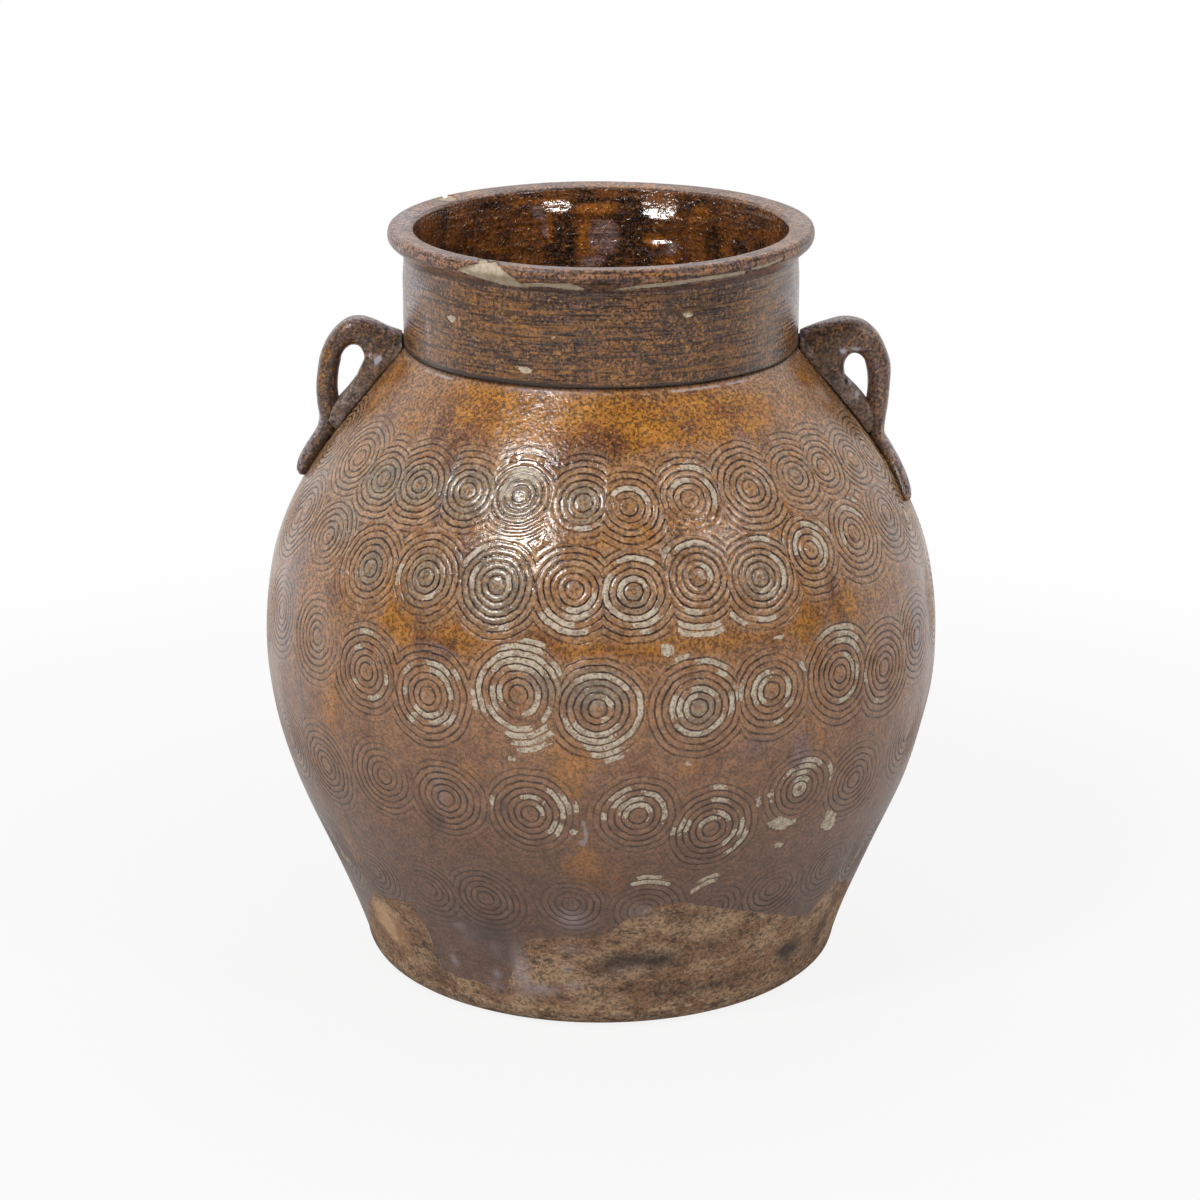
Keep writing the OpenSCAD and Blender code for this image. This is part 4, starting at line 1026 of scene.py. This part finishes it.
# %% Glaze of the wall
def wall_glaze():
    f = Finish("wall_glaze")
    w, z = f.wire, f.height() * 1000
    high = z.step(150, 300)
    ring_r, press, wear = f.mark("ring_r"), f.mark("press"), f.mark("wear")
    drift = f.noise(28, 4.0, (1, 1, 0.45)) - 0.5
    amber = (f.mark("amber") + drift * 1.3 + (f.noise(8, 3.0) - 0.5) * 0.9).step(0.15, 0.8)
    mauve = (f.mark("mauve") + (f.noise(24, 4.0, (1, 1, 0.35)) - 0.5) * 1.3).step(0.3, 0.95)
    colour = w.mix(LOW_BROWN, BROWN, z.step(60, 255))
    thick = w.mix(AMBER, DEEP_AMBER, f.noise(11, 4.0, rough=0.6).step(0.45, 0.66))
    colour = w.mix(colour, thick, amber * (0.5 + 0.45 * high) * (1 - 0.5 * press.step(0.15, 0.6)))
    streak = f.noise(15, 4.0, (1, 1, 0.3)).step(0.50, 0.70)
    deep = (f.mark("deep") + drift * 1.1 + (f.noise(9, 4.0, (1, 1, 0.5), rough=0.6) - 0.5) * 0.8).step(0.2, 0.8)
    colour = w.mix(colour, RUST, (streak * 0.4 + deep * 0.8).least(0.85))
    colour = w.mix(colour, MAUVE, mauve * 0.8)
    wobble = (f.noise(4.0, 2.0) - 0.5) * 0.9
    phase = (ring_r + wobble - FIRST_RING) / PITCH
    gap = abs(phase - phase.rounded()) * PITCH
    rings = press.step(0.02, 0.4) * ring_r.step(2.4, 3.4)
    groove = gap.step(0.70, 0.28) * rings * press.step(-0.3, 0.7)
    crest = gap.step(0.5, 0.9) * press.step(0.1, 0.45)
    colour = w.mix(colour, CREST, crest * f.noise(7, 3.0).step(0.35, 0.6) * (0.08 + 0.36 * high))
    colour = w.mix(colour, GREY, f.mark("grey").step(0.05, 0.6) * (0.3 + 0.7 * crest) * 0.8)
    ochre = w.mix(srgb(128, 96, 68), OCHRE, high)
    colour, grain = speckled(f, colour, (0.65 + 0.3 * high) * (1 - 0.3 * crest), ochre=ochre)
    # Painted shade: the grooves of the rings are darkened.
    colour = w.mix(colour, DARK, groove * (0.38 + 0.58 * f.noise(6.0, 4.0, rough=0.65).step(0.40, 0.56)))
    fine = f.noise(1.5, 2.0, rough=0.6)
    block = w.node("ShaderNodeTexVoronoi", out=1, sockets={"Vector": f.place, "Scale": 250.0})
    left = block * 0.45 + fine.step(0.3, 0.7) * 0.55
    worn = (wear * 1.1 - left).step(0.0, 0.1) * gap.step(0.35, 0.6)
    worn = worn.most((f.mark("chip") + (fine - 0.5) * 0.4).step(0.42, 0.55))
    clay = w.mix(CREAM, WORN_CLAY, f.noise(3.0, 2.0).step(0.42, 0.62))
    clay = w.shade(clay, 1.0 - 0.5 * f.noise(1.2, 1.0).step(0.56, 0.64))
    colour = w.mix(colour, clay, worn)
    edge = z - f.mark("foot_edge") + (f.noise(14, 4.0) - 0.5) * 10
    bare = edge.step(0.8, -0.8)
    colour = w.mix(colour, bare_clay(f), bare)
    soft = 0.55 + 0.9 * (f.noise(5.0, 4.0, rough=0.7) - 0.5)
    # Painted sheen and highlights, and the pale drip, in a pale colour, weaker in the grooves.
    colour = w.mix(colour, PAINTED_SHEEN, f.mark("painted_sheen_and_drip") * soft * 0.8 * (1 - 0.9 * groove))
    colour = w.mix(colour, SOIL, (f.mark("dark") * soft * 1.3).least(0.9))
    # Painted shadow: a dark band on the wall just below the collar's seam.
    colour = w.mix(colour, DARK, z.step(SEAM_Z - 1.8, SEAM_Z - 0.4) * 0.7)
    glints = abs(z - (SEAM_Z - 2.4)).step(0.7, 0.3) * f.noise(14, 3.0).step(0.5, 0.6)
    colour = w.mix(colour, GLINT, glints * 0.6)
    wet = (f.mark("wet") + (f.noise(5.0, 4.0, rough=0.7) - 0.5) * 0.8).step(0.2, 0.6)
    gloss = 0.34 - 0.16 * high + 0.04 * z.step(312, 340) + (f.noise(12, 2.0) - 0.5) * 0.16
    gloss = gloss * (1 - 0.6 * wet)
    roughness = (gloss + 0.4 * worn).most(0.09) * (1 - bare) + 0.85 * bare
    relief = grain * 0.5 - groove * 0.5 - worn * 0.3 + f.noise(5, 2.0) * 0.8 + f.noise(2.6, 2.0) * 0.5
    return f.finish(colour, roughness, relief * (1 - 0.7 * wet), 0.36)


# %% Glaze inside the jar
def inside_glaze():
    f = Finish("inside_glaze")
    w = f.wire
    ragged = (f.noise(5.0, 4.0, rough=0.7) - 0.5) * 1.2
    colour = w.mix(srgb(112, 66, 30), srgb(44, 28, 20), f.noise(18, 4.0, (1, 1, 0.5)).step(0.40, 0.60))
    colour = w.mix(colour, srgb(158, 92, 28), (f.mark("amber") + ragged).step(0.2, 0.8) * 0.85)
    # Painted sheen in a pale grey-mauve.
    colour = w.mix(colour, srgb(128, 104, 100), (f.mark("painted_sheen_and_drip") + ragged * 0.4).step(0.3, 0.7) * 0.85)
    colour = w.mix(colour, srgb(26, 19, 17), (f.mark("dark") + ragged).step(0.3, 0.8) * 0.9)
    colour, grain = speckled(f, colour, 0.8, 1.9, srgb(160, 104, 50))
    lines = f.noise(2.6, 2.0, (0.04, 0.04, 1))
    colour = w.shade(colour, 1.1 - 0.4 * lines.step(0.5, 0.62))
    beads = f.noise(3.2, 1.0).step(0.52, 0.68)
    lean = (f.mark("curtain") + ragged * 0.6).step(0.40, 0.52)
    relief = (grain * 0.5 + lines * 0.8 + beads * 0.6) * (1 - 0.62 * lean)
    return f.finish(w.shade(colour, 1.08), 0.12, relief, 0.6, lean)


# %% Glaze of the collar, the rim and the handles
def neck_glaze(name, light_brown, dark_brown, gloss=0.24, thrown=True, bends=1.7):
    f = Finish(name)
    w, z = f.wire, f.height() * 1000
    ragged = (f.noise(6.0, 4.0, (1, 1, 1.6), rough=0.7) - 0.5) * 1.1
    colour = w.mix(light_brown, dark_brown, f.noise(24, 3.0, (1, 1, 0.5)).step(0.42, 0.62))
    colour = w.mix(colour, srgb(164, 108, 44), (f.mark("amber") + ragged).step(0.2, 0.9) * 0.7)
    # Painted sheen: a pale grey-mauve where the sheen mark lies.
    colour = w.mix(colour, srgb(148, 134, 142), (f.mark("painted_sheen_and_drip") + ragged * 0.5).step(0.2, 0.9) * 0.8)
    colour = w.mix(colour, DARK, (f.mark("dark") + ragged * 0.6).step(0.25, 0.9) * 0.75)
    colour, grain = speckled(f, colour, 1.1, 1.7, srgb(180, 130, 66))
    # Painted highlights: white flecks where the sheen mark is strongest.
    colour = w.mix(colour, srgb(208, 202, 210), (f.mark("painted_sheen_and_drip") + ragged * 0.25).step(0.82, 1.0) * 0.85)
    relief = grain * 0.6
    roughness = gloss + (f.noise(12, 2.0) - 0.5) * 0.25
    if thrown:
        lines = f.noise(1.5, 3.0, (0.07, 0.07, 1.0))
        glow = f.noise(2.4, 2.0, (0.06, 0.06, 1.0))
        below = z.step(ROLL_Z + 1, ROLL_Z - 2)
        colour = w.mix(colour, srgb(162, 110, 54), glow.step(0.53, 0.64) * below * 0.45)
        colour = w.mix(colour, DARK, lines.step(0.52, 0.60) * (0.15 + 0.5 * below))
        level = w.node("ShaderNodeVectorMath", settings={"operation": "MULTIPLY"}, sockets={0: f.place, 1: (1, 1, 0)})
        from_axis = w.node("ShaderNodeVectorMath", out=1, settings={"operation": "LENGTH"}, sockets={0: level})
        circles = w.node("ShaderNodeTexNoise", sockets={
            "Vector": w.node("ShaderNodeCombineXYZ", sockets={0: from_axis, 2: f.height()}),
            "Scale": 450.0, "Detail": 2.0})
        broken = f.noise(10, 2.0).step(0.35, 0.55) * (1 - below)
        colour = w.mix(colour, DARK, circles.step(0.50, 0.60) * broken * 0.6)
        left = w.node("ShaderNodeSeparateXYZ", sockets={0: f.place}).step(0.02, -0.06)
        seam = (z - 0.9 * left).step(SEAM_Z + 2.6, SEAM_Z + 1.0) * (0.5 + 0.3 * left + f.noise(9, 2.0))
        # Painted shade under the rolled rim: a dark band just above the collar.
        under_rim_shade = z - ROLL_Z - 1.8 + ragged
        colour = w.mix(colour, DARK, seam.least(0.9).most(abs(under_rim_shade).step(1.4, 0.4) * 0.6))
        relief = relief + lines * -0.9
        chip = (f.mark("chip") + (f.noise(1.8, 3.0) - 0.5) * 0.5).step(0.42, 0.56)
        clay = w.mix(CREAM, srgb(190, 172, 144), f.noise(4.0, 3.0).step(0.4, 0.65))
        colour = w.mix(colour, w.shade(clay, 1.0 - 0.3 * f.noise(1.2, 1.0).step(0.58, 0.68)), chip)
        roughness = roughness * (1 - chip) + 0.9 * chip
        relief = relief * (1 - 0.6 * chip)
    return f.finish(colour, roughness, relief, 0.45, bends=bends)


# %% Straps
def strap_clay():
    """The seat straps: rough, dry glaze over pressed clay, grey, with pits full of dirt."""
    f = Finish("strap_clay")
    w = f.wire
    ragged = (f.noise(5.0, 4.0, rough=0.7) - 0.5) * 1.1
    colour = w.mix(srgb(142, 124, 112), srgb(124, 96, 76), f.noise(13, 3.0).step(0.42, 0.6))
    colour = w.mix(colour, srgb(150, 98, 46), (f.mark("amber") + ragged).step(0.4, 1.0) * 0.6)
    colour, grain = speckled(f, colour, 0.8, ochre=srgb(148, 124, 102))
    pits = f.noise(2.8, 3.0, rough=0.65).step(0.54, 0.66)
    # Painted highlights and sheen in a pale grey.
    colour = w.mix(colour, srgb(190, 184, 190), (f.mark("painted_sheen_and_drip") + ragged * 0.4).step(0.6, 1.0) * 0.8)
    # Dirt in the pits, and painted shade where the dark mark lies along the under side.
    colour = w.mix(colour, DARK, (pits * 0.5 + (f.mark("dark") + ragged * 0.5).step(0.3, 0.8)).least(0.92))
    return f.finish(colour, 0.7, f.noise(3.2, 4.0, rough=0.7) * 2.0 + grain - pits, 0.5)


# %% Bare foot
def foot_clay():
    f = Finish("foot_clay")
    relief = f.noise(2.0, 4.0, rough=0.7) + f.noise(12, 2.0)
    crumbs = f.noise(3.0, 3.0, (0.7, 0.7, 1.4), rough=0.65).step(0.53, 0.62)
    colour = f.wire.mix(f.wire.shade(bare_clay(f), 0.8), FRESH_CLAY, crumbs * 0.6)
    return f.finish(colour, 0.88, relief, 0.5)


glaze = {"wall": wall_glaze(), "inside": inside_glaze(), "strap": strap_clay(), "foot": foot_clay(),
         "neck": neck_glaze("neck_glaze", srgb(120, 80, 48), srgb(88, 62, 49)),
         "rim": neck_glaze("rim_glaze", srgb(150, 110, 88), srgb(116, 91, 86), 0.34, bends=1.45),
         "handle": neck_glaze("handle_glaze", srgb(110, 78, 58), srgb(88, 68, 58), 0.36, False)}
MATERIAL = {"base_slab": ("foot", "inside"), "neck_collar": ("neck", "inside"), "rim_roll": ("rim", "inside"),
            "left_handle_loop": ("handle", "handle"), "right_handle_loop": ("handle", "handle"),
            "left_handle_strap": ("strap", "strap"), "right_handle_strap": ("strap", "strap")}
for node, piece in pieces.items():
    outer, inner_glaze = MATERIAL.get(node, ("wall", "inside"))
    piece.data.materials.append(glaze[outer])
    piece.data.materials.append(glaze[inner_glaze])
    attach(piece, "root")
    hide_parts(node)
print(len(pieces), "pieces ride on root")

# %% [markdown]
# ## Floor and light
# A plain white floor and soft light from large lamps. The white ground is
# seen by the camera and in reflections, but puts no extra light on the jar. As
# in a photo studio, the white paper hangs behind the jar and the room in front
# of it is darker, so the glaze keeps its depth and only its sides turn pale.

# %% Floor
bpy.ops.mesh.primitive_plane_add(size=60, location=(0, 0, 0))
floor = bpy.context.object
floor.name = "floor"
ground = bpy.data.materials.new("floor_paper")
ground.use_nodes = True
paper = Wire(ground.node_tree)
ground.node_tree.nodes["Principled BSDF"].inputs["Base Color"].default_value = (0.7, 0.7, 0.7, 1)
ground.node_tree.nodes["Principled BSDF"].inputs["Roughness"].default_value = 0.9
matt = Wire(ground.node_tree, ground.node_tree.nodes["Principled BSDF"].outputs[0])
paths = paper.node("ShaderNodeLightPath").socket.node.outputs
beyond = paper.node("ShaderNodeSeparateXYZ", out=1, sockets={0: paper.node("ShaderNodeTexCoord", out=3)})
seen = Wire(ground.node_tree, paths["Is Camera Ray"]).most(
    Wire(ground.node_tree, paths["Is Glossy Ray"]) * beyond.step(-0.2, 0.4))
far = paper.node("ShaderNodeVectorMath", out=1, settings={"operation": "LENGTH"},
                 sockets={0: paper.node("ShaderNodeTexCoord", out=3)}).step(0.25, 1.0)
white = paper.node("ShaderNodeEmission", sockets={"Color": (1, 1, 1, 1), "Strength": 1.0})
shown = paper.node("ShaderNodeMixShader", sockets={0: seen * (0.87 + 0.13 * far), 1: matt, 2: white})
ground.node_tree.links.new(shown.socket, ground.node_tree.nodes["Material Output"].inputs["Surface"])
floor.data.materials.append(ground)


# %% Lamps
def lamp(name, place, size, watts):
    """A square area lamp that faces the middle of the jar."""
    data = bpy.data.lights.new(name, "AREA")
    data.size, data.energy = size, watts
    made = bpy.data.objects.new(name, data)
    bpy.context.scene.collection.objects.link(made)
    made.location = place
    way = np.array([0, 0, 0.22]) - np.array(place)
    flat = np.hypot(way[0], way[1])
    made.rotation_euler = (np.arctan2(flat, -way[2]), 0, np.arctan2(way[1], way[0]) - np.pi / 2)
    return made


AMBIENT = 0.45
lamp("key", (-0.92, -1.17, 1.78), 0.42, 18)
lamp("fill", (1.25, -1.0, 1.5), 0.42, 5.5)
lamp("back", (0.2, 1.4, 1.9), 1.4, 7)
world = bpy.data.worlds.new("studio")
bpy.context.scene.world = world
world.use_nodes = True
studio = Wire(world.node_tree)
paths = studio.node("ShaderNodeLightPath").socket.node.outputs
camera_ray, glossy_ray, clear_ray = (Wire(world.node_tree, paths[name]) for name in (
    "Is Camera Ray", "Is Glossy Ray", "Is Transmission Ray"))
way = studio.node("ShaderNodeTexCoord", out=0)
behind = studio.node("ShaderNodeSeparateXYZ", out=1, sockets={0: way})
sweep = 0.04 + 0.86 * behind.step(-0.3, 0.4)
strength = camera_ray.most(clear_ray).most(glossy_ray * sweep).most((1 - glossy_ray) * AMBIENT)
backdrop = world.node_tree.nodes["Background"]
backdrop.inputs["Color"].default_value = (1, 1, 1, 1)
world.node_tree.links.new(strength.socket, backdrop.inputs["Strength"])
bpy.context.scene.view_settings.view_transform = "Standard"
